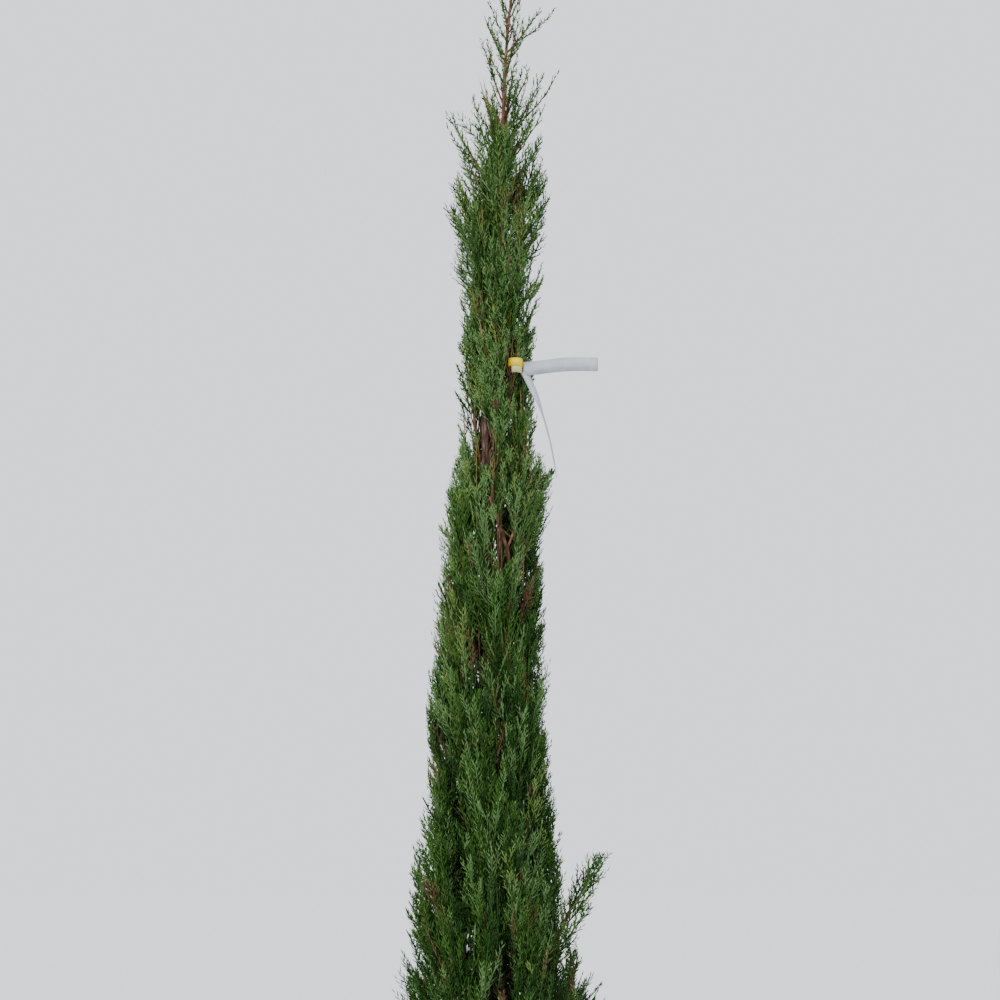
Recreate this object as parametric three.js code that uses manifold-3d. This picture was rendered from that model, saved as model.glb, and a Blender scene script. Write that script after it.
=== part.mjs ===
// Italian cypress, a slender young tree in a plain nursery pot.
// Millimetres, +Z up. The origin is the middle of the pot's flat underside,
// the front of the plant faces -Y and its right side is +X.

import * as THREE from 'three';
import { mergeVertices } from 'three/addons/utils/BufferGeometryUtils.js';
import Module from 'manifold-3d';

const wasm = await Module();
wasm.setup();

// Driving dimensions of the whole plant
const clearance = 0.3;            // gap between two pieces that touch
const plantHeight = 1742;         // from the floor to the tip of the leader
const soilTop = 240;              // height of the compost's surface
const goldenAngle = Math.PI * (3 - Math.sqrt(5));

// The pot: thin moulded plastic with a rolled rim, a stacking ledge and drain holes
const pot = {
  height: 260,
  rimRadius: 140,
  footRadius: 112,
  wall: 2.4,
  floor: 3,
  rimDepth: 20,
  rimLip: 5,
  footBevel: 4,
  sides: 22,
  drainHoles: 4,
  drainRadius: 8,
  drainRing: 0.72,                // share of the foot's radius at which the holes lie
  drainSides: 6,
};

// The trunk's line at equal steps of height, as offsets to the right and to the back
const trunkStep = 146;
const trunkLine = [
  [0, 0], [-8, 3], [-13, 3], [-11, 0], [-8, -2], [-11, -1], [-13, 1], [-6, 2], [5, 1], [10, -1], [21, 0],
];
const trunk = {
  foot: soilTop + clearance,
  top: soilTop + clearance + trunkStep * (trunkLine.length - 1),
  tipRadius: 1.2,
  taper: 0.0067,                  // radius gained for each mm down from the tip
  flare: 6.5,                     // radius gained at the foot
  flareHeight: 24,
  flareLobes: 5,
  lobeDepth: 0.12,
  sides: 8,
  rings: 20,
};

// The crown's reach at each height, to the left and to the right of the origin
const crownRows = [
  [280, 42, 44], [330, 84, 84], [395, 106, 110], [459, 105, 107], [512, 95, 90],
  [565, 94, 71], [620, 92, 66], [674, 80, 64], [730, 75, 57], [785, 78, 65],
  [842, 73, 54], [957, 67, 50], [1010, 60, 63], [1050, 50, 64], [1085, 41, 44],
  [1134, 49, 42], [1194, 42, 39], [1255, 53, 60], [1379, 63, 63], [1442, 53, 52],
  [1490, 66, 60], [1540, 40, 61], [1640, 32, 62], [1742, 30, 58],
];

// Places where the trunk, a fork or the sky shows between the sprays:
// left side, right side, bottom, top, and how far back the opening goes
const windows = [
  { left: -25, right: -5, low: 1058, high: 1104, back: -4 },
  { left: -31, right: -19, low: 1092, high: 1124, back: 200 },
  { left: 0, right: 20, low: 936, high: 978, back: 4 },
  { left: 32, right: 41, low: 1000, high: 1050, back: 200 },
  { left: -37, right: -26, low: 500, high: 530, back: 200 },
];

// The main foliage masses, from the lowest to the highest. Boughs carry the lower ones,
// and the short stems of the upper ones leave the trunk itself.
const masses = {
  count: 27,
  onBoughs: 14,
  lowest: 292,
  highest: 1290,
  crowding: 1.2,                  // above 1, the lower masses start closer together
  lengthLow: 420,
  lengthHigh: 236,
  firstAzimuth: -1.1,
  twist: -0.7,                    // turn of a mass round the trunk from its foot to its tip
  wander: 0.16,
  spraysLow: 9,
  spraysHigh: 8,
};

// The sizes of sprays and shoots, in the lowest mass and in the highest
const spraySize = {
  lengthLow: 132,
  lengthHigh: 78,
  radiusLow: 15,
  radiusHigh: 9,
  twigRoot: 1.5,
  twigEnd: 1.3,
};
const boughSize = { thickLow: 5.2, thickHigh: 3, thinLow: 3, thinHigh: 2.1, riseLow: 52, riseHigh: 118 };

// Two fractions whose steps spread points evenly over a square, and the seeds of chance
const shareAcross = 0.569840291;
const shareAlong = 0.7548776662;
const lineSeed = 40;
const spraySeed = 1200;

// The bough that leans out of the crown on the lower right
const leaning = { azimuth: -0.42, low: 470, high: 618, out: 122, sprays: 8 };

// Side sprays of the leader: height and offset of each tip, and the depth it leans to
const leaderTips = [
  [1490, -64, -14], [1512, 52, 18], [1538, 58, -16], [1532, -20, 26], [1562, 33, 24],
  [1580, -20, -17], [1606, 27, -24], [1626, -17, 19], [1632, 55, 9], [1680, 33, -15],
];
const leader = { stemLow: 104, stemHigh: 62, stemRadius: 1.4, sprays: 4 };

// The blank label: a strap wrapped once round a shoot, with a flag and a hanging tail
const label = {
  height: 1168,
  width: 17,
  thickness: 0.9,
  loopRadius: 8.4,
  shootRadius: 2.4,               // of the bare shoot inside the loop
  flagEnd: 117,
  tailEnd: [68, 1036],
};

// Small helpers: a seeded random source, smooth steps and interpolation
function seeded(seed) {
  let state = seed >>> 0;
  return () => {
    state = (state + 0x6d2b79f5) >>> 0;
    let value = Math.imul(state ^ (state >>> 15), 1 | state);
    value = (value + Math.imul(value ^ (value >>> 7), 61 | value)) ^ value;
    return ((value ^ (value >>> 14)) >>> 0) / 4294967296;
  };
}

const upright = new THREE.Vector3(0, 0, 1);
const mix = THREE.MathUtils.lerp;
const limit = THREE.MathUtils.clamp;
const smooth = THREE.MathUtils.smoothstep;

function rowAt(rows, height) {
  let k = 0;
  while (k < rows.length - 2 && rows[k + 1][0] < height) k += 1;
  const t = limit((height - rows[k][0]) / (rows[k + 1][0] - rows[k][0]), 0, 1);
  return rows[k].map((value, column) => mix(value, rows[k + 1][column], t));
}

// Centre line of the trunk: one smooth cubic between the equal steps
function trunkAt(height) {
  const last = trunkLine.length - 1;
  const place = limit((height - trunk.foot) / trunkStep, 0, last - 1e-9);
  const k = Math.floor(place);
  const t = place - k;
  const point = (n) => trunkLine[limit(n, 0, last)];
  const cubic = (a, b, c, d) => b + 0.5 * t * (c - a + t * (2 * a - 5 * b + 4 * c - d
    + t * (3 * (b - c) + d - a)));
  const along = (n) => cubic(point(k - 1)[n], point(k)[n], point(k + 1)[n], point(k + 2)[n]);
  return new THREE.Vector3(along(0), along(1), height);
}

function trunkRadius(height) {
  const flare = trunk.flare * Math.exp(-(height - trunk.foot) / trunk.flareHeight);
  return trunk.tipRadius + trunk.taper * (trunk.top - height) + flare;
}

// Centre and radius of the crown at a height, taken as round
function crownAt(height) {
  const [, left, right] = rowAt(crownRows, height);
  return { centre: (right - left) / 2, radius: (right + left) / 2 };
}

// The same, evened out over a hand's width for the lines that stems follow
function evenCrownAt(height) {
  const near = [-60, -20, 20, 60].map((step) => crownAt(height + step));
  return {
    centre: near.reduce((sum, row) => sum + row.centre, 0) / near.length,
    radius: near.reduce((sum, row) => sum + row.radius, 0) / near.length,
  };
}

// The plan of every mass: its height range and the line that its stem follows
function mainMass(index) {
  const random = seeded(lineSeed + index);
  const u = index / (masses.count - 1);
  const low = mix(masses.lowest, masses.highest, u ** masses.crowding);
  const high = low + mix(masses.lengthLow, masses.lengthHigh, u) * (0.94 + 0.12 * random());
  const azimuth = masses.firstAzimuth + index * goldenAngle + masses.wander * (random() - 0.5);
  const onBough = index < masses.onBoughs;
  const foot = trunkAt(low);
  const lineAt = (height) => {
    const s = limit((height - low) / (high - low), 0, 1);
    const crown = evenCrownAt(height);
    const share = mix(0.42, 0.58, smooth(s, 0, 0.35)) + 0.3 * s ** 4;
    const turn = azimuth + masses.twist * (s - 0.5) + 0.12 * Math.sin(3 * s + index);
    const leave = onBough ? 1 : smooth(s + 0.08, 0, 0.4);
    return new THREE.Vector3(
      mix(foot.x, crown.centre + crown.radius * share * Math.cos(turn), leave),
      mix(foot.y, crown.radius * share * Math.sin(turn), leave),
      height,
    );
  };
  const kind = onBough ? 'bough' : 'trunk';
  const sprays = onBough ? masses.spraysLow : masses.spraysHigh;
  return { kind, index, low, high, azimuth, lineAt, sprays, u };
}

function leaningMass(index) {
  const { azimuth, low, high, out } = leaning;
  const lineAt = (height) => {
    const s = limit((height - low) / (high - low), 0, 1);
    const reach = mix(50, out, s ** 1.25);
    return new THREE.Vector3(reach * Math.cos(azimuth), reach * Math.sin(azimuth), height);
  };
  const { sprays } = leaning;
  return { kind: 'bough', index, low, high, azimuth, lineAt, sprays, u: 0.1, free: true };
}

function leaderMass(index, [high, x, y], order) {
  const rise = mix(leader.stemLow, leader.stemHigh, order / (leaderTips.length - 1));
  const low = high - rise;
  const foot = trunkAt(low);
  const lineAt = (height) => {
    const s = limit((height - low) / rise, 0, 1);
    const lean = s ** 0.85;
    return new THREE.Vector3(mix(foot.x, x, lean), mix(foot.y, y, lean), height);
  };
  const azimuth = Math.atan2(y - foot.y, x - foot.x);
  return { kind: 'leader', index, low, high, azimuth, lineAt, sprays: leader.sprays, u: 1, free: true };
}

function tipMass(index) {
  const low = trunk.top + clearance;
  const foot = trunkAt(trunk.top);
  const lineAt = (height) => new THREE.Vector3(foot.x + 0.12 * (height - low), foot.y, height);
  return { kind: 'tip', index, low, high: plantHeight, azimuth: 0, lineAt, sprays: 3, u: 1, free: true };
}

const plans = [];
for (let i = 0; i < masses.count; i += 1) plans.push(mainMass(i));
plans.push(leaningMass(plans.length));
leaderTips.forEach((tip, order) => plans.push(leaderMass(plans.length, tip, order)));
plans.push(tipMass(plans.length));

// The bough under a mass: it leaves the trunk's middle lower down and turns upright
function boughFor(plan) {
  const end = plan.lineAt(plan.low);
  const up = plan.lineAt(plan.low + 8).sub(end).normalize();
  const { thickLow, thickHigh, thinLow, thinHigh, riseLow, riseHigh } = boughSize;
  const rise = Math.min(plan.low - trunk.foot - 14, mix(riseLow, riseHigh, plan.u));
  const start = trunkAt(plan.low - rise);
  const across = new THREE.Vector3(end.x - start.x, end.y - start.y, 0);
  const curve = new THREE.CubicBezierCurve3(
    start,
    start.clone().addScaledVector(across, 0.5).add(new THREE.Vector3(0, 0, 0.22 * rise)),
    end.clone().addScaledVector(up, -0.5 * rise),
    end,
  );
  const thick = mix(thickLow, thickHigh, plan.u);
  const thin = mix(thinLow, thinHigh, plan.u);
  return { curve, thick, thin, up, azimuth: plan.azimuth };
}

for (const plan of plans) {
  if (plan.kind === 'bough') plan.bough = boughFor(plan);
}

// Every limb as a row of short straight stretches, for finding how much room is left
function stretches(pointAt, radiusAt, steps) {
  const list = [];
  for (let i = 0; i < steps; i += 1) {
    const line = new THREE.Line3(pointAt(i / steps), pointAt((i + 1) / steps));
    list.push({ line, radius: Math.max(radiusAt(i / steps), radiusAt((i + 1) / steps)) });
  }
  return list;
}

const trunkHeightAt = (t) => mix(trunk.foot, trunk.top, t);
const limbs = stretches(
  (t) => trunkAt(trunkHeightAt(t)),
  (t) => trunkRadius(trunkHeightAt(t)),
  120,
);
for (const { bough } of plans) {
  if (!bough) continue;
  const { curve, thick, thin } = bough;
  limbs.push(...stretches((t) => curve.getPoint(t), (t) => mix(thick, thin, t), 16));
}

function roomToLimbs(point) {
  let room = Infinity;
  const nearest = new THREE.Vector3();
  for (const { line, radius } of limbs) {
    if (Math.abs(line.start.z - point.z) > 90) continue;
    line.closestPointToPoint(point, true, nearest);
    room = Math.min(room, nearest.distanceTo(point) - radius);
  }
  return room;
}

// Distance from a point to the boundary half way to the next mass at that height
function roomToMasses(point, plan) {
  let room = Infinity;
  const own = plan.lineAt(point.z);
  const reach = own.distanceToSquared(point);
  for (const other of plans) {
    if (other === plan || point.z < other.low - 4 || point.z > other.high + 4) continue;
    const line = other.lineAt(point.z);
    room = Math.min(room, (line.distanceToSquared(point) - reach) / (2 * line.distanceTo(own)));
  }
  return room;
}

function inWindow(point, radius) {
  return windows.some(({ left, right, low, high, back }) => point.x > left - radius
    && point.x < right + radius && point.z > low && point.z < high && point.y < back);
}

// The shoot that carries the label is the bough mass nearest to the front right there
const labelMass = plans
  .filter((plan) => !plan.free && plan.low < label.height - 40 && plan.high > label.height + 60)
  .reduce((best, plan) => (plan.lineAt(label.height).x - 0.4 * plan.lineAt(label.height).y
    > best.lineAt(label.height).x - 0.4 * best.lineAt(label.height).y ? plan : best));
const loopHang = label.loopRadius - label.thickness / 2 - label.shootRadius - 1.5 * clearance;
const loopCentre = labelMass.lineAt(label.height).add(new THREE.Vector3(loopHang, 0, 0));

function onLabel(point, radius) {
  const off = Math.hypot(point.x - loopCentre.x, point.y - loopCentre.y);
  const level = Math.abs(point.z - label.height) < label.width / 2 + radius + 1;
  const onLoop = Math.abs(off - label.loopRadius) < radius + 1.6;
  const beside = Math.abs(point.y - loopCentre.y) < radius + 2.5 && point.x > loopCentre.x + 4;
  const tail = beside && point.z < label.height + 8 && point.z > label.height - 40
    && point.x > loopCentre.x + label.loopRadius && point.x < loopCentre.x + 32;
  return (level && (onLoop || beside)) || tail;
}

// Does a ball of this radius keep to the space of its mass and clear of all limbs?
function fits(point, radius, plan) {
  if (point.z < plan.low || point.z > plan.high + 0.01) return false;
  const crown = crownAt(point.z);
  const off = Math.hypot(point.x - crown.centre, point.y);
  if (!plan.free && off + radius > crown.radius + 1) return false;
  if (inWindow(point, radius) || onLabel(point, radius)) return false;
  if (roomToMasses(point, plan) < radius + 0.8) return false;
  return roomToLimbs(point) > radius + 0.7;
}

// A closed mesh over rings of points. A last ring of one point ends it there.
function skin(rings) {
  const sides = rings[0].length;
  const end = rings.length - 1;
  const pointed = rings[end].length === 1;
  const faces = [];
  const top = end * sides;
  for (let ring = 0; ring < end; ring += 1) {
    for (let i = 0; i < sides; i += 1) {
      const a = ring * sides + i;
      const b = ring * sides + ((i + 1) % sides);
      if (ring === end - 1 && pointed) faces.push(a, b, top);
      else faces.push(a, b, b + sides, a, b + sides, a + sides);
    }
  }
  for (let i = 1; i < sides - 1; i += 1) {
    faces.push(0, i + 1, i);
    if (!pointed) faces.push(top, top + i, top + i + 1);
  }
  const positions = rings.flat().flatMap((point) => point.toArray());
  const geometry = new THREE.BufferGeometry();
  geometry.setAttribute('position', new THREE.Float32BufferAttribute(positions, 3));
  geometry.setIndex(faces);
  return geometry;
}

// One ring of a tube, square to its line and turned to the side of its azimuth
function ringAt(point, along, radius, sides, azimuth, swell = () => 1) {
  const side = new THREE.Vector3(-Math.sin(azimuth), Math.cos(azimuth), 0);
  const u = side.addScaledVector(along, -side.dot(along)).normalize();
  const v = along.clone().cross(u);
  const ring = [];
  for (let i = 0; i < sides; i += 1) {
    const turn = (2 * Math.PI * i) / sides;
    const reach = radius * swell(turn, point.z);
    ring.push(point.clone()
      .addScaledVector(u, reach * Math.cos(turn))
      .addScaledVector(v, reach * Math.sin(turn)));
  }
  return ring;
}

// A closed tapering tube along points. Its first and last rings may be turned to face
// another piece, and a last radius of nothing ends it in a point.
function tube(points, radii, sides, azimuth, { first, last, swell } = {}) {
  const end = points.length - 1;
  return skin(points.map((point, ring) => {
    if (ring === end && radii[end] === 0) return [point];
    const next = points[Math.min(ring + 1, end)];
    let along = next.clone().sub(points[Math.max(ring - 1, 0)]).normalize();
    if (ring === 0 && first) along = first;
    if (ring === end && last) along = last;
    return ringAt(point, along, radii[ring], sides, azimuth, swell);
  }));
}

const closest = 0.01;             // two vertices of a joined solid lie no nearer than this

// From a three.js geometry to a solid and back
function solidOf(geometry) {
  const plain = geometry.clone();
  plain.deleteAttribute('normal');
  plain.deleteAttribute('uv');
  const merged = mergeVertices(plain, 1e-4);
  return new wasm.Manifold(new wasm.Mesh({
    numProp: 3,
    vertProperties: new Float32Array(merged.getAttribute('position').array),
    triVerts: new Uint32Array(merged.index.array),
  }));
}

// Joining leaves some vertices almost on each other: they are drawn together here
function geometryOf(solid) {
  const mesh = solid.getMesh();
  const rough = new THREE.BufferGeometry();
  rough.setAttribute('position', new THREE.BufferAttribute(new Float32Array(mesh.vertProperties), 3));
  rough.setIndex(new THREE.BufferAttribute(new Uint32Array(mesh.triVerts), 1));
  const geometry = mergeVertices(rough, closest);
  const corners = geometry.index.array;
  const faces = [];
  for (let i = 0; i < corners.length; i += 3) {
    const [a, b, c] = corners.slice(i, i + 3);
    if (a !== b && b !== c && c !== a) faces.push(a, b, c);
  }
  geometry.setIndex(faces);
  geometry.computeVertexNormals();
  return geometry;
}

const joined = (solids) => solids.reduce((whole, solid) => whole.add(solid));

// The largest body of a solid, without loose scraps or sealed hollows
function mainBody(solid) {
  const bodies = solid.decompose();
  return bodies.reduce((best, body) => (body.volume() > best.volume() ? body : best));
}

// The trunk, and the same shape a little larger, which cuts what meets it
function trunkGeometry(extra) {
  const points = [];
  const radii = [];
  for (let ring = 0; ring <= trunk.rings; ring += 1) {
    const height = mix(trunk.foot, trunk.top, (ring / trunk.rings) ** 1.25);
    points.push(trunkAt(height));
    radii.push(trunkRadius(height) + extra);
  }
  const swell = (turn, height) => 1 + trunk.lobeDepth * Math.cos(trunk.flareLobes * turn)
    * Math.exp(-(height - trunk.foot) / (2 * trunk.flareHeight));
  return tube(points, radii, trunk.sides, 0, { first: upright, swell });
}

const trunkCutter = solidOf(trunkGeometry(clearance));

function boughGeometry({ curve, thick, thin, azimuth, up }) {
  const rings = 5;
  const points = [];
  const radii = [];
  for (let ring = 0; ring <= rings; ring += 1) {
    const t = ring / rings;
    points.push(curve.getPoint(t));
    radii.push(mix(thick, thin, t ** 0.8));
  }
  const limb = solidOf(tube(points, radii, 5, azimuth, { last: up }));
  return geometryOf(mainBody(limb.subtract(trunkCutter)));
}

// The dense core of a mass. Its rings lie level, and each corner reaches as far into the
// mass's own space as it can, up to a share of the crown, clear of every limb.
const coreShape = {
  rings: 6,
  sides: 6,
  fullest: 0.5,                   // widest reach, as a share of the crown's radius
  skinShare: 0.84,
  margin: 2,
  step: 1.5,
  shrink: 0.86,
  tries: 14,
};

function coreCorner(line, turn, reach) {
  return line.clone().add(new THREE.Vector3(reach * Math.cos(turn), reach * Math.sin(turn), 0));
}

function roomForCore(point, plan) {
  const crown = crownAt(point.z);
  const off = Math.hypot(point.x - crown.centre, point.y);
  return off < coreShape.skinShare * crown.radius && fits(point, coreShape.margin, plan);
}

function coreOf(plan) {
  const { rings, sides, fullest, step, shrink, tries } = coreShape;
  const stemRadius = plan.bough ? plan.bough.thin : leader.stemRadius;
  const end = plan.high - mix(84, 60, plan.u);
  const rows = [];
  for (let ring = 0; ring <= rings; ring += 1) {
    const t = ring / rings;
    const height = mix(plan.low, end, t);
    const line = plan.lineAt(height);
    const least = mix(stemRadius, 1.2, t);
    const swell = Math.sin(Math.PI * t ** 0.72) ** 0.6;
    const wanted = fullest * evenCrownAt(height).radius * swell;
    const inLoop = plan === labelMass && Math.abs(height - label.height) < (1.1 * (end - plan.low)) / rings;
    const reaches = [];
    for (let i = 0; i < sides; i += 1) {
      const turn = plan.azimuth + Math.PI / 2 + (2 * Math.PI * i) / sides;
      let reach = inLoop ? label.shootRadius : least;
      while (!inLoop && reach + step < wanted) {
        if (!roomForCore(coreCorner(line, turn, reach + step), plan)) break;
        reach += step;
      }
      reaches.push(reach);
    }
    rows.push({ height, line, least, reaches });
  }
  const corner = (ring, i) => {
    const { line, reaches } = rows[ring];
    return coreCorner(line, plan.azimuth + Math.PI / 2 + (2 * Math.PI * i) / sides, reaches[i % sides]);
  };
  const patchIsOpen = (ring, i) => {
    const [a, b] = [corner(ring, i), corner(ring, i + 1)];
    const [c, d] = [corner(ring + 1, i), corner(ring + 1, i + 1)];
    const shares = [0, 0.25, 0.5, 0.75, 1];
    return shares.every((s) => shares.every((t) => roomForCore(
      a.clone().lerp(b, s).lerp(c.clone().lerp(d, s), t),
      plan,
    )));
  };
  for (let attempt = 0; attempt < tries; attempt += 1) {
    for (let ring = 0; ring < rings; ring += 1) {
      for (let i = 0; i < sides; i += 1) {
        if (patchIsOpen(ring, i)) continue;
        for (const [row, side] of [[ring, i], [ring, i + 1], [ring + 1, i], [ring + 1, i + 1]]) {
          const { reaches, least } = rows[row];
          reaches[side % sides] = Math.max(least, shrink * reaches[side % sides]);
        }
      }
    }
  }
  return rows.map(({ height, reaches }, ring) => ({
    height,
    mean: reaches.reduce((sum, reach) => sum + reach, 0) / sides,
    ring: reaches.map((_, i) => corner(ring, i)),
  }));
}

function leanCore(plan) {
  const radius = plan.kind === 'bough' ? 5 : leader.stemRadius;
  const end = mix(plan.low, plan.high, plan.kind === 'bough' ? 0.6 : 0.55);
  return [0, 0.5, 1].map((t) => {
    const height = mix(plan.low, end, t);
    const mean = mix(plan.bough ? plan.bough.thin : radius, 1.2, t) + (t === 0.5 ? radius - 1.2 : 0);
    return { height, mean, ring: ringAt(plan.lineAt(height), upright, mean, 3, plan.azimuth) };
  });
}

for (const plan of plans) plan.core = plan.free ? leanCore(plan) : coreOf(plan);

// The stem of a mass, which swells into its dense core and thins out again
function stemGeometry(plan) {
  const rings = plan.core.map(({ ring }) => ring);
  if (plan.bough) {
    const foot = plan.lineAt(plan.low).addScaledVector(plan.bough.up, clearance);
    rings[0] = ringAt(foot, plan.bough.up, plan.core[0].mean, rings[0].length, plan.azimuth);
  }
  return skin(rings);
}

function coreMean(plan, height) {
  return rowAt(plan.core.map((row) => [row.height, row.mean]), height)[1];
}

const belly = 0.38;               // where along its length a spray is thickest

// A three-sided twig that opens into its spray and ends in a point
function sprayGeometry({ root, start, end, width, azimuth }) {
  const thickest = start.clone().lerp(end, belly);
  const radii = [spraySize.twigRoot, spraySize.twigEnd, width, 0];
  return tube([root, start, thickest, end], radii, 3, azimuth);
}

// How far round the crown a mass's own space reaches at a height, to either side
function sideReach(plan, height, sign) {
  const crown = crownAt(height);
  let turn = 0;
  while (turn < 1.5) {
    const angle = plan.azimuth + sign * (turn + 0.1);
    const point = new THREE.Vector3(
      crown.centre + 0.9 * crown.radius * Math.cos(angle),
      0.9 * crown.radius * Math.sin(angle),
      height,
    );
    if (roomToMasses(point, plan) < 2) break;
    turn += 0.1;
  }
  return sign * turn;
}

// One spray: where it leaves the stem, where its tip ends and how thick it is.
// Two steady fractions of the attempt spread the sprays evenly over the mass's side.
function sprayWish(plan, attempt, random) {
  const { lengthLow, lengthHigh, radiusLow, radiusHigh } = spraySize;
  const wanted = mix(lengthLow, lengthHigh, plan.u) * (0.85 + 0.3 * random());
  const radius = mix(radiusLow, radiusHigh, plan.u) * (0.85 + 0.3 * random());
  const along = (0.5 + attempt * shareAlong) % 1;
  const across = (0.5 + attempt * shareAcross) % 1;
  const leave = mix(plan.low + 5, plan.high - 0.55 * wanted, along);
  const length = Math.min(wanted, 1.05 * (plan.high - leave));
  const height = leave + 0.9 * length;
  const root = plan.lineAt(leave);
  const tip = new THREE.Vector3();
  if (plan.free) {
    const lean = (plan.kind === 'leader' ? 0.22 : 0.12) * (1 + random()) * length;
    const around = attempt * goldenAngle;
    const line = plan.lineAt(height);
    tip.set(line.x + lean * Math.cos(around), line.y + lean * Math.sin(around), height);
    return { root, tip, radius: (plan.kind === 'leader' ? 0.45 : 0.8) * radius };
  }
  const crown = crownAt(height);
  const depth = attempt % 3 === 2 ? 0.4 + 0.35 * random() : 0.95 + 0.04 * random();
  const turn = plan.azimuth + mix(sideReach(plan, height, -1), sideReach(plan, height, 1), across);
  tip.set(
    crown.centre + crown.radius * depth * Math.cos(turn),
    crown.radius * depth * Math.sin(turn),
    height,
  );
  const lean = Math.hypot(tip.x - root.x, tip.y - root.y);
  tip.lerp(new THREE.Vector3(root.x, root.y, height), Math.max(0, 1 - (0.62 * length) / lean));
  return { root, tip, radius };
}

function inCore(point, plan, share) {
  return point.distanceTo(plan.lineAt(point.z)) < share * coreMean(plan, point.z);
}

const sprayThickness = (t) => (t < belly ? t / belly : (1 - t) / (1 - belly));

// The spray is shortened until it keeps to its own space, or left out
function fitted({ root, tip, radius }, plan, others) {
  for (const scale of [1, 0.84, 0.68]) {
    const end = root.clone().lerp(tip, scale);
    const width = radius * Math.sqrt(scale);
    const start = root.clone().lerp(end, 0.2);
    const marks = [0.12, 0.25, 0.38, 0.55, 0.7, 0.85, 1].map((t) => ({
      point: start.clone().lerp(end, t),
      thickness: width * sprayThickness(t),
    }));
    const bare = inCore(start, plan, 0.7) ? [] : [0.25, 0.5, 0.75, 1]
      .map((t) => root.clone().lerp(start, t))
      .filter((point) => !inCore(point, plan, 1));
    const apart = marks.slice(2).every((mark) => others.every((other) => other.marks.slice(2)
      .every((near) => near.point.distanceTo(mark.point) > 0.7 * (near.thickness + mark.thickness))));
    if (apart && marks.every(({ point, thickness }) => fits(point, thickness, plan))
      && bare.every((point) => fits(point, 1.6, plan))) {
      return { root, start, end, width, marks, azimuth: plan.azimuth + tip.z };
    }
  }
  return null;
}

function sprayList(plan) {
  const random = seeded(spraySeed + plan.index);
  const list = [];
  for (let attempt = 0; attempt < 6 * plan.sprays && list.length < plan.sprays; attempt += 1) {
    const spray = fitted(sprayWish(plan, attempt, random), plan, list);
    if (spray) list.push(spray);
  }
  return list;
}

function massGeometry(plan) {
  const last = plan.core[plan.core.length - 1].height;
  const neck = plan.lineAt(mix(plan.high, last, 1.15));
  const tipRadius = plan.free ? 4 : mix(10, 7, plan.u);
  const end = plan.lineAt(plan.high);
  const start = neck.clone().lerp(end, 0.1);
  const shoot = { root: neck, start, end, width: tipRadius, azimuth: plan.azimuth };
  const pieces = [stemGeometry(plan), ...[shoot, ...sprayList(plan)].map(sprayGeometry)];
  let solid = joined(pieces.map(solidOf));
  if (!plan.bough) solid = solid.subtract(trunkCutter);
  return geometryOf(mainBody(solid));
}

// The pot and the compost in it
function potRadius(height) {
  return mix(pot.footRadius, pot.rimRadius - pot.rimLip, height / pot.height);
}

function lathe(profile) {
  const points = profile.map(([radius, height]) => new THREE.Vector2(radius, height));
  const geometry = new THREE.LatheGeometry(points, pot.sides);
  geometry.rotateX(Math.PI / 2);
  return geometry;
}

function potGeometry() {
  const ledge = pot.height - pot.rimDepth;
  const body = solidOf(lathe([
    [0, 0],
    [pot.footRadius - pot.footBevel, 0],
    [pot.footRadius, pot.footBevel],
    [potRadius(ledge), ledge],
    [pot.rimRadius - pot.wall / 2, ledge],
    [pot.rimRadius, pot.height - pot.wall],
    [pot.rimRadius - pot.wall / 2, pot.height],
    [pot.rimRadius - 1.5 * pot.wall, pot.height],
    [pot.rimRadius - pot.rimLip - pot.wall, ledge + pot.wall],
    [potRadius(ledge) - pot.wall, ledge - pot.wall],
    [potRadius(pot.floor) - pot.wall, pot.floor],
    [0, pot.floor],
  ]));
  const holes = [];
  for (let i = 0; i < pot.drainHoles; i += 1) {
    const turn = (2 * Math.PI * (i + 0.5)) / pot.drainHoles;
    const away = pot.drainRing * pot.footRadius;
    const { drainRadius, drainSides } = pot;
    const hole = new THREE.CylinderGeometry(drainRadius, drainRadius, 4 * pot.floor, drainSides);
    hole.rotateX(Math.PI / 2);
    hole.translate(away * Math.cos(turn), away * Math.sin(turn), 0);
    holes.push(solidOf(hole));
  }
  return geometryOf(holes.reduce((whole, hole) => whole.subtract(hole), body));
}

function soilGeometry() {
  const inside = (height) => potRadius(height) - pot.wall - clearance * 1.5;
  return lathe([
    [0, pot.floor + clearance],
    [inside(pot.floor + clearance), pot.floor + clearance],
    [inside(soilTop - 8), soilTop - 8],
    [inside(soilTop - 8) - 14, soilTop - 2],
    [40, soilTop],
    [0, soilTop],
  ]);
}

// The label: a flat strip along points, with its width along a given direction
function ribbon(points, across, width, thickness) {
  const positions = [];
  points.forEach((point, i) => {
    const next = points[Math.min(i + 1, points.length - 1)];
    const last = points[Math.max(i - 1, 0)];
    const along = next.clone().sub(last).normalize();
    const face = along.clone().cross(across).normalize().multiplyScalar(thickness / 2);
    const edge = across.clone().multiplyScalar(width / 2);
    for (const [e, f] of [[-1, -1], [1, -1], [1, 1], [-1, 1]]) {
      positions.push(...point.clone().addScaledVector(edge, e).addScaledVector(face, f).toArray());
    }
  });
  const faces = [];
  for (let i = 0; i < points.length - 1; i += 1) {
    for (let k = 0; k < 4; k += 1) {
      const a = 4 * i + k;
      const b = 4 * i + ((k + 1) % 4);
      faces.push(a, b, b + 4, a, b + 4, a + 4);
    }
  }
  const end = 4 * (points.length - 1);
  faces.push(0, 2, 1, 0, 3, 2, end, end + 1, end + 2, end, end + 2, end + 3);
  const geometry = new THREE.BufferGeometry();
  geometry.setAttribute('position', new THREE.Float32BufferAttribute(positions, 3));
  geometry.setIndex(faces);
  return geometry;
}

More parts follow.
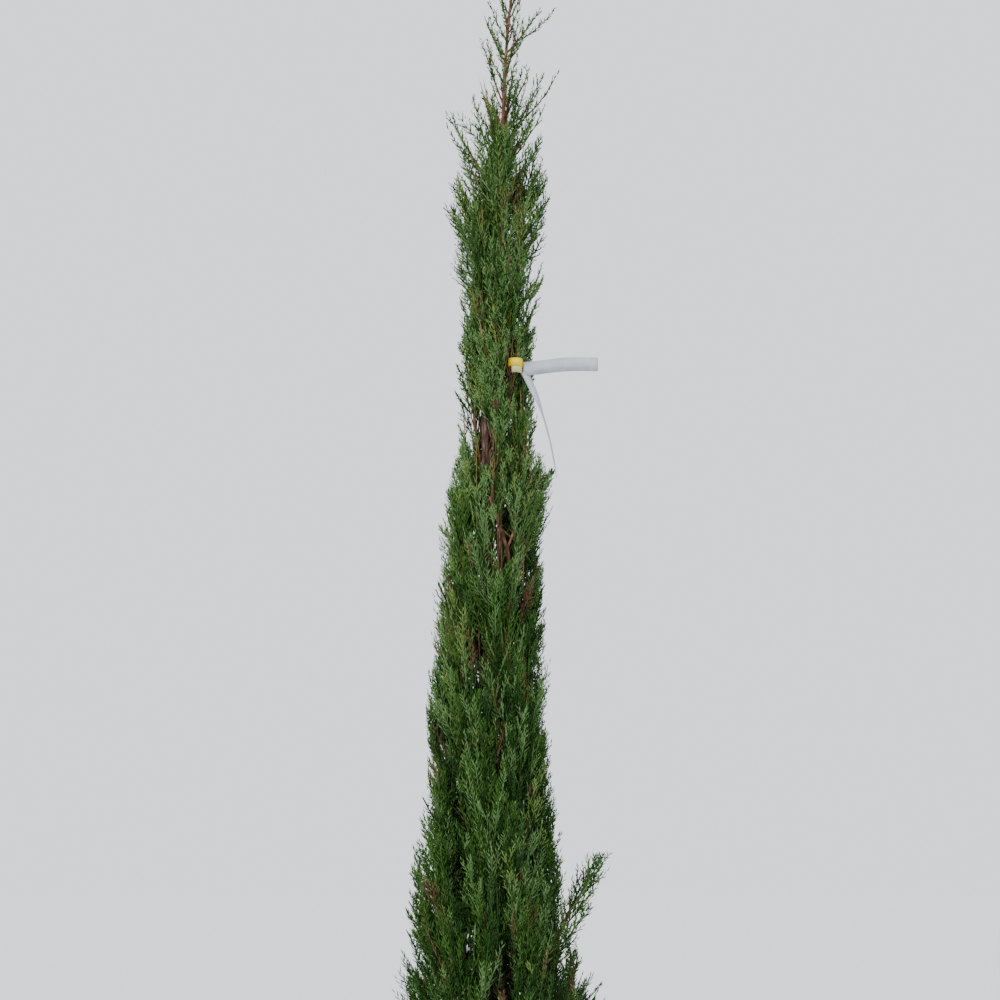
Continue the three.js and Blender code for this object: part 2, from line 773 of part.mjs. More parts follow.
const flagAway = label.loopRadius + label.thickness / 2 + clearance;
const flagStart = loopCentre.clone().add(new THREE.Vector3(flagAway, 0, 0));

function labelLoop() {
  const points = [];
  const steps = 12;
  for (let i = 0; i <= steps; i += 1) {
    const turn = mix(0.12, 2 * Math.PI - 0.12, i / steps);
    points.push(loopCentre.clone().add(new THREE.Vector3(
      label.loopRadius * Math.cos(turn),
      label.loopRadius * Math.sin(turn),
      0,
    )));
  }
  return ribbon(points, upright, label.width, label.thickness);
}

function labelFlag() {
  const steps = 6;
  const flag = [];
  for (let i = 0; i <= steps; i += 1) {
    const t = i / steps;
    const x = mix(flagStart.x, label.flagEnd, t);
    const z = label.height - 2.5 * Math.sin(Math.PI * t) + 4 * t * t;
    flag.push(new THREE.Vector3(x, flagStart.y + 3 * t * t, z));
  }
  const [tailX, tailZ] = label.tailEnd;
  const tailTop = new THREE.Vector3(flagStart.x + 1, flagStart.y, label.height - label.width / 2 + 2);
  const curve = new THREE.QuadraticBezierCurve3(
    tailTop,
    new THREE.Vector3(mix(tailTop.x, tailX, 0.75), tailTop.y, mix(tailTop.z, tailZ, 0.4)),
    new THREE.Vector3(tailX, tailTop.y, tailZ),
  );
  const back = new THREE.Vector3(0, 1, 0);
  const tail = ribbon(curve.getPoints(steps), back, label.width * 0.5, label.thickness);
  const strap = ribbon(flag, upright, label.width, label.thickness);
  return geometryOf(joined([solidOf(strap), solidOf(tail)]));
}

// The finished group
function material(colour, roughness) {
  return new THREE.MeshStandardMaterial({ color: colour, roughness, metalness: 0 });
}

const cypress = new THREE.Group();

function add(name, geometry, finish) {
  const mesh = new THREE.Mesh(geometry, finish);
  mesh.name = name;
  cypress.add(mesh);
}

const twoDigits = (number) => String(number).padStart(2, '0');
const greens = [0x3d5a2b, 0x476833, 0x35522c, 0x4f7038, 0x2f4a2a];

add('trunk', trunkGeometry(0), material(0x6f5c4a, 0.9));
let boughNumber = 0;
let foliageNumber = 0;
for (const plan of plans) {
  if (plan.bough) {
    boughNumber += 1;
    add(`bough_${twoDigits(boughNumber)}`, boughGeometry(plan.bough), material(0x84583a, 0.85));
  }
  foliageNumber += 1;
  const green = greens[plan.index % greens.length];
  add(`foliage_${twoDigits(foliageNumber)}`, massGeometry(plan), material(green, 0.8));
}
add('pot', potGeometry(), material(0x1b1b1c, 0.5));
add('soil', soilGeometry(), material(0x33261d, 1));
add('label_band', labelLoop(), material(0xd9c22a, 0.5));
add('label_flag', labelFlag(), material(0xeceae2, 0.5));

export default cypress;
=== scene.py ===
# %% [markdown]
# A young Italian cypress, about 1.74 m tall, in a plain round nursery pot.
# This lesson dresses a plain solid model of the plant. The solids give the trunk, the boughs, the masses
# of foliage, the pot and the label. Here each is replaced by a finer mesh that fills the same space.
# Everything is in metres in the scene, but the plan of the tree is kept in millimetres, as in the solids.

# %% Load the solid model
import math
from types import SimpleNamespace

import bmesh
import bpy
import numpy as np
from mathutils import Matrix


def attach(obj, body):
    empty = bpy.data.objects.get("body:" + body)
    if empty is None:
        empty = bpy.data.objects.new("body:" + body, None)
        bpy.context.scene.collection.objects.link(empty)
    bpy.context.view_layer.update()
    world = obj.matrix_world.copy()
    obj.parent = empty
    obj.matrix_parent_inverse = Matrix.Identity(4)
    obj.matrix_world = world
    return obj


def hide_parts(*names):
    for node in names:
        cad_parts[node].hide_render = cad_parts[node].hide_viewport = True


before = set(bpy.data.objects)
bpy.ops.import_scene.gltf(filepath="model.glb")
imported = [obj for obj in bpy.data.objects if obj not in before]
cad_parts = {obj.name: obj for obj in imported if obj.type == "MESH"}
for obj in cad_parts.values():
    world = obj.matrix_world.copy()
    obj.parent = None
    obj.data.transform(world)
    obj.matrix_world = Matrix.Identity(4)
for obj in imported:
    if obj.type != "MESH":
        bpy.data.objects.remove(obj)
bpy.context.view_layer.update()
mm = 0.001


# %% [markdown]
# The camera. The horizon in the photograph lies near the bottom of the frame, so the camera stood low, 58 cm
# above the floor, and looked up a little. A long lens from 2.1 m keeps the crown narrow. It could be framed
# by shifting the lens instead, but other views would keep that shift, so the camera itself is tilted.

# %% Camera
eye = (0.0034, -2.1176, 0.58)
look_up = math.radians(11.607)
camera_data = bpy.data.cameras.new("camera")
camera_data.lens = 67.74
camera_data.sensor_width = 36
camera = bpy.data.objects.new("camera", camera_data)
camera.location = eye
camera.rotation_euler = (math.pi / 2 + look_up, 0, 0)
bpy.context.scene.collection.objects.link(camera)
bpy.context.scene.camera = camera
print("camera at", eye)


# %% [markdown]
# The floor and the light. The plant stands in broad, even daylight from above. A pale sky all round gives
# that, and one very soft sun from the upper left gives the sprays some shape. Area lamps would also work,
# but their light falls off, and the far floor would turn dark.


# %% Floor, sky and soft sun
def new_material(name):
    material = bpy.data.materials.new(name)
    material.use_nodes = True
    shader = material.node_tree.nodes["Principled BSDF"]
    return material, material.node_tree, shader


def add_mesh(name, mesh, material=None, smooth=False):
    piece = bpy.data.objects.new(name, mesh)
    bpy.context.scene.collection.objects.link(piece)
    if material:
        mesh.materials.append(material)
    if smooth:
        mesh.shade_smooth()
    return piece


floor_reach = 150
floor_corners = [(x * floor_reach, y * floor_reach, 0) for x, y in ((-1, -1), (1, -1), (1, 1), (-1, 1))]
floor_mesh = bpy.data.meshes.new("floor")
floor_mesh.from_pydata(floor_corners, [], [(0, 1, 2, 3)])
floor_material, _, floor_shader = new_material("pale_floor")
floor_shader.inputs["Base Color"].default_value = (0.622, 0.643, 0.667, 1)
floor_shader.inputs["Roughness"].default_value = 0.8
add_mesh("floor", floor_mesh, floor_material)

world = bpy.data.worlds.new("sky")
world.use_nodes = True
background = world.node_tree.nodes["Background"]
background.inputs["Color"].default_value = (0.86, 0.9, 0.95, 1)
background.inputs["Strength"].default_value = 1.6
bpy.context.scene.world = world

sun_data = bpy.data.lights.new("soft_sun", "SUN")
sun_data.energy = 3.6
sun_data.angle = math.radians(35)
sun_data.color = (1, 0.97, 0.92)
sun = bpy.data.objects.new("soft_sun", sun_data)
sun.rotation_euler = (math.radians(42), math.radians(-16), math.radians(-30))
bpy.context.scene.collection.objects.link(sun)
print("floor, sky and one sun of", round(math.degrees(sun_data.angle)), "degrees")


# %% [markdown]
# The plan of the tree. On the real plant each bough leaves the trunk at a sharp angle and turns upright
# at once, so the crown is a column of narrow upright masses. The rule that placed them in the solids is
# written again here, with the same sizes and the same seeds, so that the fine twigs grow along the same
# lines. Reading points off the solids would be quicker, but a rule can carry on to finer twigs.

# %% Sizes of the tree, in millimetres
clearance = 0.3
plant_height, soil_top = 1742, 240
golden_angle = math.pi * (3 - math.sqrt(5))

# Where the trunk's middle is, to the right and to the back, at even steps up from the compost
trunk_step = 146
trunk_line = np.array([(0, 0), (-8, 3), (-13, 3), (-11, 0), (-8, -2), (-11, -1), (-13, 1), (-6, 2), (5, 1),
                       (10, -1), (21, 0)], float)
trunk_foot = soil_top + clearance
trunk_top = trunk_foot + trunk_step * (len(trunk_line) - 1)
trunk_tip_radius, trunk_taper = 1.2, 0.0067
trunk_flare, flare_height, flare_lobes, lobe_depth = 6.5, 24, 5, 0.12

# Height, and how far the crown reaches to the left and to the right there
crown_rows = np.array([
    (280, 42, 44), (330, 84, 84), (395, 106, 110), (459, 105, 107), (512, 95, 90), (565, 94, 71),
    (620, 92, 66), (674, 80, 64), (730, 75, 57), (785, 78, 65), (842, 73, 54), (957, 67, 50),
    (1010, 60, 63), (1050, 50, 64), (1085, 41, 44), (1134, 49, 42), (1194, 42, 39), (1255, 53, 60),
    (1379, 63, 63), (1442, 53, 52), (1490, 66, 60), (1540, 40, 61), (1640, 32, 62), (1742, 30, 58)], float)

# Left side, right side, bottom, top and back of the rounded gaps between the sprays
windows = [(-26, -4, 1050, 1100, -4), (-31, -23, 1096, 1118, 200), (-4, 18, 930, 988, -27),
           (-36, -31, 504, 524, 200), (2, 15, 1462, 1520, -2)]

# The main masses: how many, the heights of their feet, their length, their side and how far out they run
mass_count, masses_on_boughs = 27, 14
lowest_mass, highest_mass, crowding = 292, 1290, 1.2
mass_length_low, mass_length_high = 420, 236
shortest_share, length_spread = 0.94, 0.12
first_azimuth, mass_twist, mass_wander, mass_wave = -1.1, -0.7, 0.16, 0.12
out_low, out_high, out_more = 0.42, 0.58, 0.3

# The bough that leans out, and the tips of the side shoots on the leader: height, x and y
leaning_azimuth, leaning_low, leaning_high, leaning_out = -0.42, 470, 618, 122
leader_tips = [(1490, -64, -14), (1512, 52, 18), (1538, 58, -16), (1532, -20, 26), (1562, 33, 24),
               (1580, -20, -17), (1606, 27, -24), (1626, -17, 19), (1632, 55, 9), (1680, 33, -15)]
leader_stem_low, leader_stem_high = 104, 62

# The boughs' rise and thickness, from the lowest to the highest
bough_rise_low, bough_rise_high = 52, 118
bough_foot_low, bough_foot_high, bough_end_low, bough_end_high = 5.2, 3, 3, 2.1

# The length of a spray, and two steady fractions that spread sprays evenly
spray_length_low, spray_length_high, leaning_spray = 132, 78, 66
share_across, share_along = 0.569840291, 0.7548776662
line_seed = 40
print("crown from", crown_rows[0, 0], "to", plant_height, "mm,", mass_count, "main masses")


# %% [markdown]
# Small helpers. The seeded source of chance is the same one that the solids used, bit for bit, because a
# mass's height and side come from it. Everything else works on whole arrays of points at once: the crown
# has far too many twigs for a loop over each.


# %% Helpers: chance, blending and the trunk's line
def seeded(seed):
    whole = 0xFFFFFFFF
    state = seed & whole

    def draw():
        nonlocal state
        state = (state + 0x6D2B79F5) & whole
        value = ((state ^ (state >> 15)) * (1 | state)) & whole
        value = ((value + (((value ^ (value >> 7)) * (61 | value)) & whole)) & whole) ^ value
        return ((value ^ (value >> 14)) & whole) / 4294967296

    return draw


def mix(a, b, share):
    return a + (b - a) * share


def smooth_step(value, low, high):
    t = np.clip((value - low) / (high - low), 0, 1)
    return t * t * (3 - 2 * t)


noise_cells = (64, 256)


def soft_noise(u, v, seed):
    """Smooth noise from -1 to 1 on a grid of whole numbers. It repeats after noise_cells in u and in v."""
    lattice = np.random.default_rng(seed).uniform(-1, 1, noise_cells)
    cell_u, cell_v = np.floor(u).astype(int), np.floor(v).astype(int)
    s, t = (smooth_step(x - np.floor(x), 0, 1) for x in (u, v))
    a, b, c, d = (lattice[(cell_u + i) % noise_cells[0], (cell_v + j) % noise_cells[1]]
                  for i, j in ((0, 0), (1, 0), (0, 1), (1, 1)))
    return mix(mix(a, b, s), mix(c, d, s), t)


def points_of(x, y, z):
    return np.stack(np.broadcast_arrays(x, y, z), axis=-1).astype(float)


def points_round(centre, radius, turn, z):
    """Points at a radius and an angle round an upright axis that stands at x = centre."""
    return points_of(centre + radius * np.cos(turn), radius * np.sin(turn), z)


def unit(vectors):
    return vectors / np.maximum(np.linalg.norm(vectors, axis=-1, keepdims=True), 1e-9)


def trunk_at(heights):
    """Points of the trunk's middle line: a smooth curve through the steps of trunk_line."""
    heights = np.asarray(heights, float)
    last = len(trunk_line) - 1
    place = np.clip((heights - trunk_foot) / trunk_step, 0, last - 1e-9)
    step = np.floor(place).astype(int)
    t = (place - step)[..., None]
    a, b, c, d = (trunk_line[np.clip(step + n, 0, last)] for n in (-1, 0, 1, 2))
    xy = b + 0.5 * t * (c - a + t * (2 * a - 5 * b + 4 * c - d + t * (3 * (b - c) + d - a)))
    return points_of(xy[..., 0], xy[..., 1], heights)


def trunk_radius(heights):
    flare = trunk_flare * np.exp(-(heights - trunk_foot) / flare_height)
    return trunk_tip_radius + trunk_taper * (trunk_top - heights) + flare


def crown_at(heights):
    """The x of the crown's middle, and its radius."""
    left, right = (np.interp(heights, crown_rows[:, 0], crown_rows[:, k]) for k in (1, 2))
    return (right - left) / 2, (right + left) / 2


def even_crown_at(heights):
    near = [crown_at(heights + step) for step in (-60, -20, 20, 60)]
    return sum(row[0] for row in near) / 4, sum(row[1] for row in near) / 4


print("trunk leans to x =", round(float(trunk_at(trunk_top)[0]), 1), "mm at its top")


# %% [markdown]
# The masses of the crown. Main masses climb round the trunk by the golden angle, as buds do, so each new
# one fills the widest gap. The lower ones stand on boughs, and the upper ones leave the trunk itself. One
# bough leans out on the lower right, and thin side shoots stand off the leader above the dense crown. Each
# mass is kept as a function from height to the point where its middle line runs.


# %% Plan of the masses
def mass(kind, low, high, line=None, u=1, free=True, azimuth=None):
    """A mass from one height to another, along a line; u goes from 0 for the lowest to 1 for the highest."""
    return SimpleNamespace(kind=kind, low=low, high=high, line=line, u=u, free=free, azimuth=azimuth,
                           loose=kind in ("leader", "tip", "sprig"))


def main_mass(index):
    draw = seeded(line_seed + index)
    u = index / (mass_count - 1)
    low = mix(lowest_mass, highest_mass, u ** crowding)
    high = low + mix(mass_length_low, mass_length_high, u) * (shortest_share + length_spread * draw())
    azimuth = first_azimuth + index * golden_angle + mass_wander * (draw() - 0.5)
    on_bough = index < masses_on_boughs
    foot = trunk_at(low)

    def line(heights):
        s = np.clip((heights - low) / (high - low), 0, 1)
        centre, radius = even_crown_at(heights)
        share = mix(out_low, out_high, smooth_step(s, 0, 0.35)) + out_more * s ** 4
        turn = azimuth + mass_twist * (s - 0.5) + mass_wave * np.sin(3 * s + index)
        leave = 1 if on_bough else smooth_step(s + 0.08, 0, 0.4)
        return points_of(mix(foot[0], centre + radius * share * np.cos(turn), leave),
                         mix(foot[1], radius * share * np.sin(turn), leave), heights)

    return mass("bough" if on_bough else "trunk", low, high, line, u, False, azimuth)


def leaning_mass():
    foot_out, bend = 50, 1.25

    def line(heights):
        s = np.clip((heights - leaning_low) / (leaning_high - leaning_low), 0, 1)
        reach = mix(foot_out, leaning_out, s ** bend)
        return points_of(reach * math.cos(leaning_azimuth), reach * math.sin(leaning_azimuth), heights)

    return mass("bough", leaning_low, leaning_high, line, 0.1)


def leader_mass(tip, order):
    high, x, y = tip
    rise = mix(leader_stem_low, leader_stem_high, order / (len(leader_tips) - 1))
    low = high - rise
    foot = trunk_at(low)

    def line(heights):
        lean = np.clip((heights - low) / rise, 0, 1) ** 0.85
        return points_of(mix(foot[0], x, lean), mix(foot[1], y, lean), heights)

    return mass("leader", low, high, line)


def tip_mass():
    low = trunk_top + clearance
    foot = trunk_at(trunk_top)

    def line(heights):
        return points_of(foot[0] + 0.12 * (heights - low), foot[1], heights)

    return mass("tip", low, plant_height, line)


plans = [main_mass(i) for i in range(mass_count)] + [leaning_mass()]
plans += [leader_mass(tip, order) for order, tip in enumerate(leader_tips)] + [tip_mass()]
for index, plan in enumerate(plans):
    plan.index, plan.node = index, f"foliage_{index + 1:02d}"
print(len(plans), "masses")


# %% [markdown]
# The boughs. Each leaves the trunk at a sharp angle below its mass and turns upright as it reaches it, and
# the lowest are the thickest. A curve with four corners does that: the second corner sets how it leaves,
# and the third lies back along the mass's own line, so that bough and mass run on without a kink.


# %% Boughs under the lower masses
def bough_for(plan):
    """The four corners of the bough's curve, from the trunk to the foot of its mass, and its radii."""
    end = plan.line(plan.low)
    up = unit(plan.line(plan.low + 8) - end)
    rise = min(plan.low - trunk_foot - 14, mix(bough_rise_low, bough_rise_high, plan.u))
    start = trunk_at(plan.low - rise)
    across = (end - start) * (1, 1, 0)
    corners = np.array([start, start + 0.5 * across + (0, 0, 0.22 * rise), end - 0.5 * rise * up, end])
    return SimpleNamespace(corners=corners, thick=mix(bough_foot_low, bough_foot_high, plan.u),
                           thin=mix(bough_end_low, bough_end_high, plan.u))


def bezier(corners, t):
    a, b, c, d = corners
    t = np.asarray(t, float)[:, None]
    return (1 - t) ** 3 * a + 3 * t * (1 - t) ** 2 * b + 3 * t ** 2 * (1 - t) * c + t ** 3 * d


def simple_curve(start, bend, end, t):
    return (1 - t) ** 2 * start + 2 * t * (1 - t) * bend + t ** 2 * end


for plan in plans:
    plan.bough = bough_for(plan) if plan.kind == "bough" else None
bough_plans = [plan for plan in plans if plan.bough]
print(len(bough_plans), "boughs")


# %% [markdown]
# Keeping to one's own space. On a real plant the sprays of one bough end where those of the next begin,
# because they shade each other. The boundary between two masses is half way between their lines at each
# height, and near its top a mass gives way, so that it ends in a point. A twig may cross the boundary by up
# to 9 mm, and it keeps out of the wood of the trunk and the boughs.

# %% Room to other masses and to limbs
tip_taper, tip_taper_length = 16, 90
low_leader_top = 1540


def kind_of(plan):
    if plan.kind == "leader":
        return "low leader" if plan.high < low_leader_top else "leader"
    return "leaning" if plan.free and plan.kind == "bough" else plan.kind


def drawn_in(plan, z):
    """How far a mass gives way to its neighbours near its top, so that it ends in a point."""
    return tip_taper * smooth_step(z, plan.high - tip_taper_length, plan.high)


def room_to_masses(points, plan):
    """How far each point is on its own mass's side of the boundary with the nearest other mass."""
    z = points[:, 2]
    own = plan.line(z)
    reach = ((own - points) ** 2).sum(1)
    room = np.full(len(points), np.inf)
    for other in plans:
        active = (z > other.low - 4) & (z < other.high + 4)
        if other is plan or kind_of(other) == "leaning" or not active.any():
            continue
        line = other.line(z[active])
        apart = 2 * np.linalg.norm(line - own[active], axis=1)
        gap = (((line - points[active]) ** 2).sum(1) - reach[active]) / np.maximum(apart, 1e-6)
        gap += drawn_in(other, z[active]) - drawn_in(plan, z[active])
        room[active] = np.minimum(room[active], gap)
    return room


def limb_stretches():
    """Starts, ends and radii of short straight stretches of the trunk and the boughs."""
    heights, t = np.linspace(trunk_foot, trunk_top, 121), np.linspace(0, 1, 17)
    limbs = [(trunk_at(heights), trunk_radius(heights))]
    for plan in bough_plans:
        limbs.append((bezier(plan.bough.corners, t), mix(plan.bough.thick, plan.bough.thin, t)))
    stretches = [(line[:-1], line[1:], radii[:-1]) for line, radii in limbs]
    return [np.concatenate(rows) for rows in zip(*stretches)]


limb_starts, limb_ends, limb_radii = limb_stretches()


def room_to_limbs(points):
    """How far each point is from the surface of the nearest limb within 30 mm of its height."""
    room = np.full(len(points), np.inf)
    for start, end, radius in zip(limb_starts, limb_ends, limb_radii):
        near = np.abs(points[:, 2] - start[2]) < 30
        if not near.any():
            continue
        along = end - start
        share = np.clip((points[near] - start) @ along / (along @ along), 0, 1)
        away = np.linalg.norm(points[near] - start - share[:, None] * along, axis=1)
        room[near] = np.minimum(room[near], away - radius)
    return room


print(len(limb_starts), "stretches of limb to keep off")


# %% [markdown]
# Gaps and label. Through a few gaps between the sprays the photograph shows bark and sky. Each is kept
# open as a rounded box whose edges wander, because a clean edge would look cut. The label hangs on the
# stem of a mass on the right and to the front, and the twigs there keep off its strap.


# %% Gaps in the crown, and the label's place
def in_window(points, radius):
    """Inside one of the rounded gaps; their edges wander, so that single sprays reach over them."""
    x, y, z = points.T
    wander_share, wander_aside = 0.55, 4
    wander = wander_share * soft_noise(x / 3.5 + y / 5 + 300, z / 8 + 90, 57)
    x = x + wander_aside * soft_noise(y / 6 + 300, z / 7 + 90, 58)
    inside = np.zeros(len(points), bool)
    for left, right, low, high, back in windows:
        beside = (2 * x - left - right) / (right - left + 2 * radius)
        inside |= (beside ** 2 + ((2 * z - low - high) / (high - low)) ** 2 < 1 + wander) & (y < back)
    return inside


# The label: the strap, the loop round its shoot, and where its flag and its hanging end stop
label_height, label_width, label_thickness = 1168, 17, 0.9
loop_radius, bare_shoot_radius = 8.4, 2.4
flag_end = 117
tail_end = (68, 1036)


def toward_label(plan):
    x, y, _ = plan.line(np.float64(label_height))
    return x - 0.4 * y


label_plan = max((plan for plan in plans if not plan.free and plan.low < label_height - 40
                  and plan.high > label_height + 60), key=toward_label)
loop_hang = loop_radius - label_thickness / 2 - bare_shoot_radius - 1.5 * clearance
loop_centre = label_plan.line(np.float64(label_height)) + (loop_hang, 0, 0)


def on_label(points, radius):
    """In the way of the loop, of the flag, of the view of them, or of the hanging end below the flag."""
    x, y, z = points.T
    off = np.hypot(x - loop_centre[0], y - loop_centre[1])
    level = np.abs(z - label_height) < label_width / 2 + radius + 1
    on_loop = np.abs(off - loop_radius) < radius + 1.6
    beside = (np.abs(y - loop_centre[1]) < radius + 2.5) & (x > loop_centre[0] + 4)
    before = (np.abs(x - loop_centre[0]) < loop_radius + 2) & (y < loop_centre[1])
    tail = beside & (z < label_height + 8) & (z > label_height - 40) \
        & (x > loop_centre[0] + loop_radius) & (x < loop_centre[0] + 32)
    return (level & (on_loop | beside | before)) | tail


print("the label hangs on", label_plan.node, "at", loop_centre.round(1))


# %% [markdown]
# The dense body. It ends inside the crown's outline, unevenly and with hollows, and only loose feathers
# reach further. Limbs are moved in where they would lie bare on its outside. One test takes all the
# limits together: height, box, outline, gaps, label, neighbours and limbs.

# %% The dense body, and the test for every twig
mingling = 9
widest = 137.5
# Height, and how much of the crown's width the dense body takes there
body_rows = np.array([(440, 0.97), (600, 0.93), (820, 0.9), (1000, 0.82), (1134, 0.88), (1200, 0.82),
                      (1255, 0.6), (1330, 0.5), (1400, 0.48), (1440, 0.46), (1475, 0.42), (1500, 0.3),
                      (1530, 0.2)])


def body_middle(heights):
    """The x of the dense body's middle: that of the crown, but the leader's near the top."""
    return crown_at(heights)[0] + np.interp(heights, (1360, 1480), (0, 15))


def off_middle(points):
    return np.hypot(points[:, 0] - body_middle(points[:, 2]), points[:, 1])


def pulled_in(points):
    """Points of a limb, moved in where they would lie bare on the outside of the dense body."""
    z = points[:, 2]
    middle = points_of(body_middle(z), 0, z)
    off = np.linalg.norm(points - middle, axis=1)
    bare_from, give = 0.66, 0.15
    limit = bare_from * crown_at(z)[1] * np.interp(z, body_rows[:, 0], body_rows[:, 1])
    kept = np.minimum(off, limit + give * (off - limit))
    return middle + (points - middle) * (kept / np.maximum(off, 1e-6))[:, None]


def body_share(points):
    """The dense body ends inside the outline, unevenly and with hollows; only loose feathers reach it."""
    cells_round, right_side = 18, 20
    turn = np.arctan2(points[:, 1], points[:, 0]) * cells_round / (2 * math.pi) + right_side
    hollow = smooth_step(soft_noise(turn * 1.1, points[:, 2] / 30, 47), 0.3, 0.62)
    hollow *= 1 - (np.abs(turn - right_side) < 1.6) * (points[:, 2] < 600)
    return np.interp(points[:, 2], body_rows[:, 0], body_rows[:, 1]) \
        + np.interp(points[:, 2], (900, 1000), (0.14, 0.09)) * soft_noise(turn, points[:, 2] / 42, 31) \
        - np.interp(points[:, 2], (900, 1250), (0.3, 0.08)) * hollow


def fits(points, radius, plan, overhang=1.0, body=False):
    """Whether a twig of that radius may be there; overhang is how far it may pass the crown's outline."""
    centre, crown = crown_at(points[:, 2])
    if body:
        centre, crown = body_middle(points[:, 2]), crown * body_share(points)
    off = np.hypot(points[:, 0] - centre, points[:, 1])
    good = (points[:, 2] > plan.low - 12) & (points[:, 2] < plan.high + 0.01)
    good &= np.abs(points[:, :2]).max(axis=1) + radius < widest
    if not plan.free:
        good &= off + radius < crown + overhang
    good &= ~in_window(points, radius) & ~on_label(points, radius)
    if plan.line and kind_of(plan) != "leaning":
        good[good] = room_to_masses(points[good], plan) > radius - mingling
    good[good] = room_to_limbs(points[good]) > radius
    return good


def paths_fit(paths, first, plan, overhang=1.0):
    """Whether each path fits, from one of its points on."""
    points = paths[:, first:].reshape(-1, 3)
    return fits(points, 1.0, plan, overhang).reshape(len(paths), -1).all(1)


print("the body takes", body_rows[0, 1], "of the crown's width at the foot,", body_rows[-1, 1], "at the top")


# %% [markdown]
# From arrays to meshes. A million faces can't be made one by one, so small builders turn whole arrays into
# closed tubes and into spindles, pointed at both ends. A spindle of six faces is the outline of one
# branchlet: on this plant the scale leaves are pressed flat to it, so it looks like a thin green thread,
# little more than a millimetre thick. A few large meshes, by kind and colour, keep the plant light.


# %% Builders for tubes and spindles
def rings_round(centres, along, radii, sides, turn=0.0):
    sideways = np.zeros_like(along)
    sideways[..., 0] = 1
    steep = np.abs(along[..., 0]) > 0.9
    sideways[steep] = (0, 1, 0)
    u = unit(sideways - (sideways * along).sum(-1, keepdims=True) * along)
    v = np.cross(along, u)
    angles = np.arange(sides) * 2 * math.pi / sides + np.asarray(turn)[..., None]
    out = np.cos(angles)[..., None] * u[..., None, :] + np.sin(angles)[..., None] * v[..., None, :]
    return centres[..., None, :] + out * np.asarray(radii)[..., None, None]


def tubes(paths, radii, sides=3):
    """Closed tapering tubes along many paths of the same number of points, each ending in a point."""
    count, steps, _ = paths.shape
    along = unit(np.gradient(paths, axis=1))
    rings = rings_round(paths[:, :-1], along[:, :-1], radii[:, :-1], sides)
    vertices = np.concatenate([rings.reshape(count, -1, 3), paths[:, -1:]], axis=1)
    faces = []
    top = (steps - 1) * sides
    for ring in range(steps - 1):
        for i in range(sides):
            a, b = ring * sides + i, ring * sides + (i + 1) % sides
            if ring == steps - 2:
                faces.append((a, b, top))
            else:
                faces += [(a, b, b + sides), (a, b + sides, a + sides)]
    faces += [(0, i + 1, i) for i in range(1, sides - 1)]
    per_tube = vertices.shape[1]
    faces = np.array(faces)[None] + per_tube * np.arange(count)[:, None, None]
    return vertices.reshape(-1, 3), faces.reshape(-1, 3)


def spindles(bases, tips, radii, turns):
    """One three-sided double point from each base to its tip, thickest a third of the way up."""
    belly = 0.36
    rings = rings_round(mix(bases, tips, belly), unit(tips - bases), radii, 3, turns)
    vertices = np.concatenate([bases[:, None], rings, tips[:, None]], axis=1)
    faces = np.array([(0, 2, 1), (0, 3, 2), (0, 1, 3), (1, 2, 4), (2, 3, 4), (3, 1, 4)])
    faces = faces[None] + 5 * np.arange(len(bases))[:, None, None]
    return vertices.reshape(-1, 3), faces.reshape(-1, 3)


def ring_faces(rings, sides, inside_out=False):
    """Triangles over a stack of rings, and a fan at each end to one of the two vertices after them."""
    i = np.arange(sides)
    after = (i + 1) % sides
    quads = np.concatenate([np.stack([i, after, after + sides, i + sides], 1) + ring * sides
                            for ring in range(rings - 1)])
    foot, last = rings * sides, (rings - 1) * sides
    ends = np.concatenate([np.stack([after, i, np.full(sides, foot)], 1),
                           np.stack([last + i, last + after, np.full(sides, foot + 1)], 1)])
    if inside_out:
        quads, ends = quads[:, [0, 3, 2, 1]], ends[:, [1, 0, 2]]
    return np.concatenate([quads[:, [0, 1, 2]], quads[:, [0, 2, 3]], ends])


def joined_arrays(parts):
    vertices, faces, start = [], [], 0
    for part_vertices, part_faces in parts:
        vertices.append(part_vertices)
        faces.append(part_faces + start)
        start += len(part_vertices)
    return np.concatenate(vertices), np.concatenate(faces)


def mesh_of(name, vertices, faces):
    """A mesh in metres from vertices in millimetres and faces of three or four corners."""
    corners = faces.shape[1]
    mesh = bpy.data.meshes.new(name)
    mesh.vertices.add(len(vertices))
    mesh.vertices.foreach_set("co", (vertices * mm).astype(np.float32).ravel())
    mesh.loops.add(faces.size)
    mesh.loops.foreach_set("vertex_index", faces.astype(np.int32).ravel())
    mesh.polygons.add(len(faces))
    mesh.polygons.foreach_set("loop_start", np.arange(0, faces.size, corners, dtype=np.int32))
    mesh.update(calc_edges=True)
    return mesh


def add_piece(name, arrays, material, replaced, smooth=False):
    """Add a mesh made of arrays to the plant's one body, in the place of the named solids."""
    piece = add_mesh(name, mesh_of(name, *arrays), material, smooth)
    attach(piece, "root")
    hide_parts(*replaced)
    return piece


print("a spindle has 6 faces, a twig of 4 steps", len(tubes(np.zeros((1, 4, 3)), np.ones((1, 4)))[1]))


# %% [markdown]
# Bark. The trunk's bark is thin, grey-brown and runs in long soft fibres that twist a little round it. The
# boughs are younger: smoother and more orange. A bump in the material alone would leave a clean outline,
# so the ridges are real: each ring of the trunk is pushed in and out by soft seeded noise that is
# stretched along the wood.


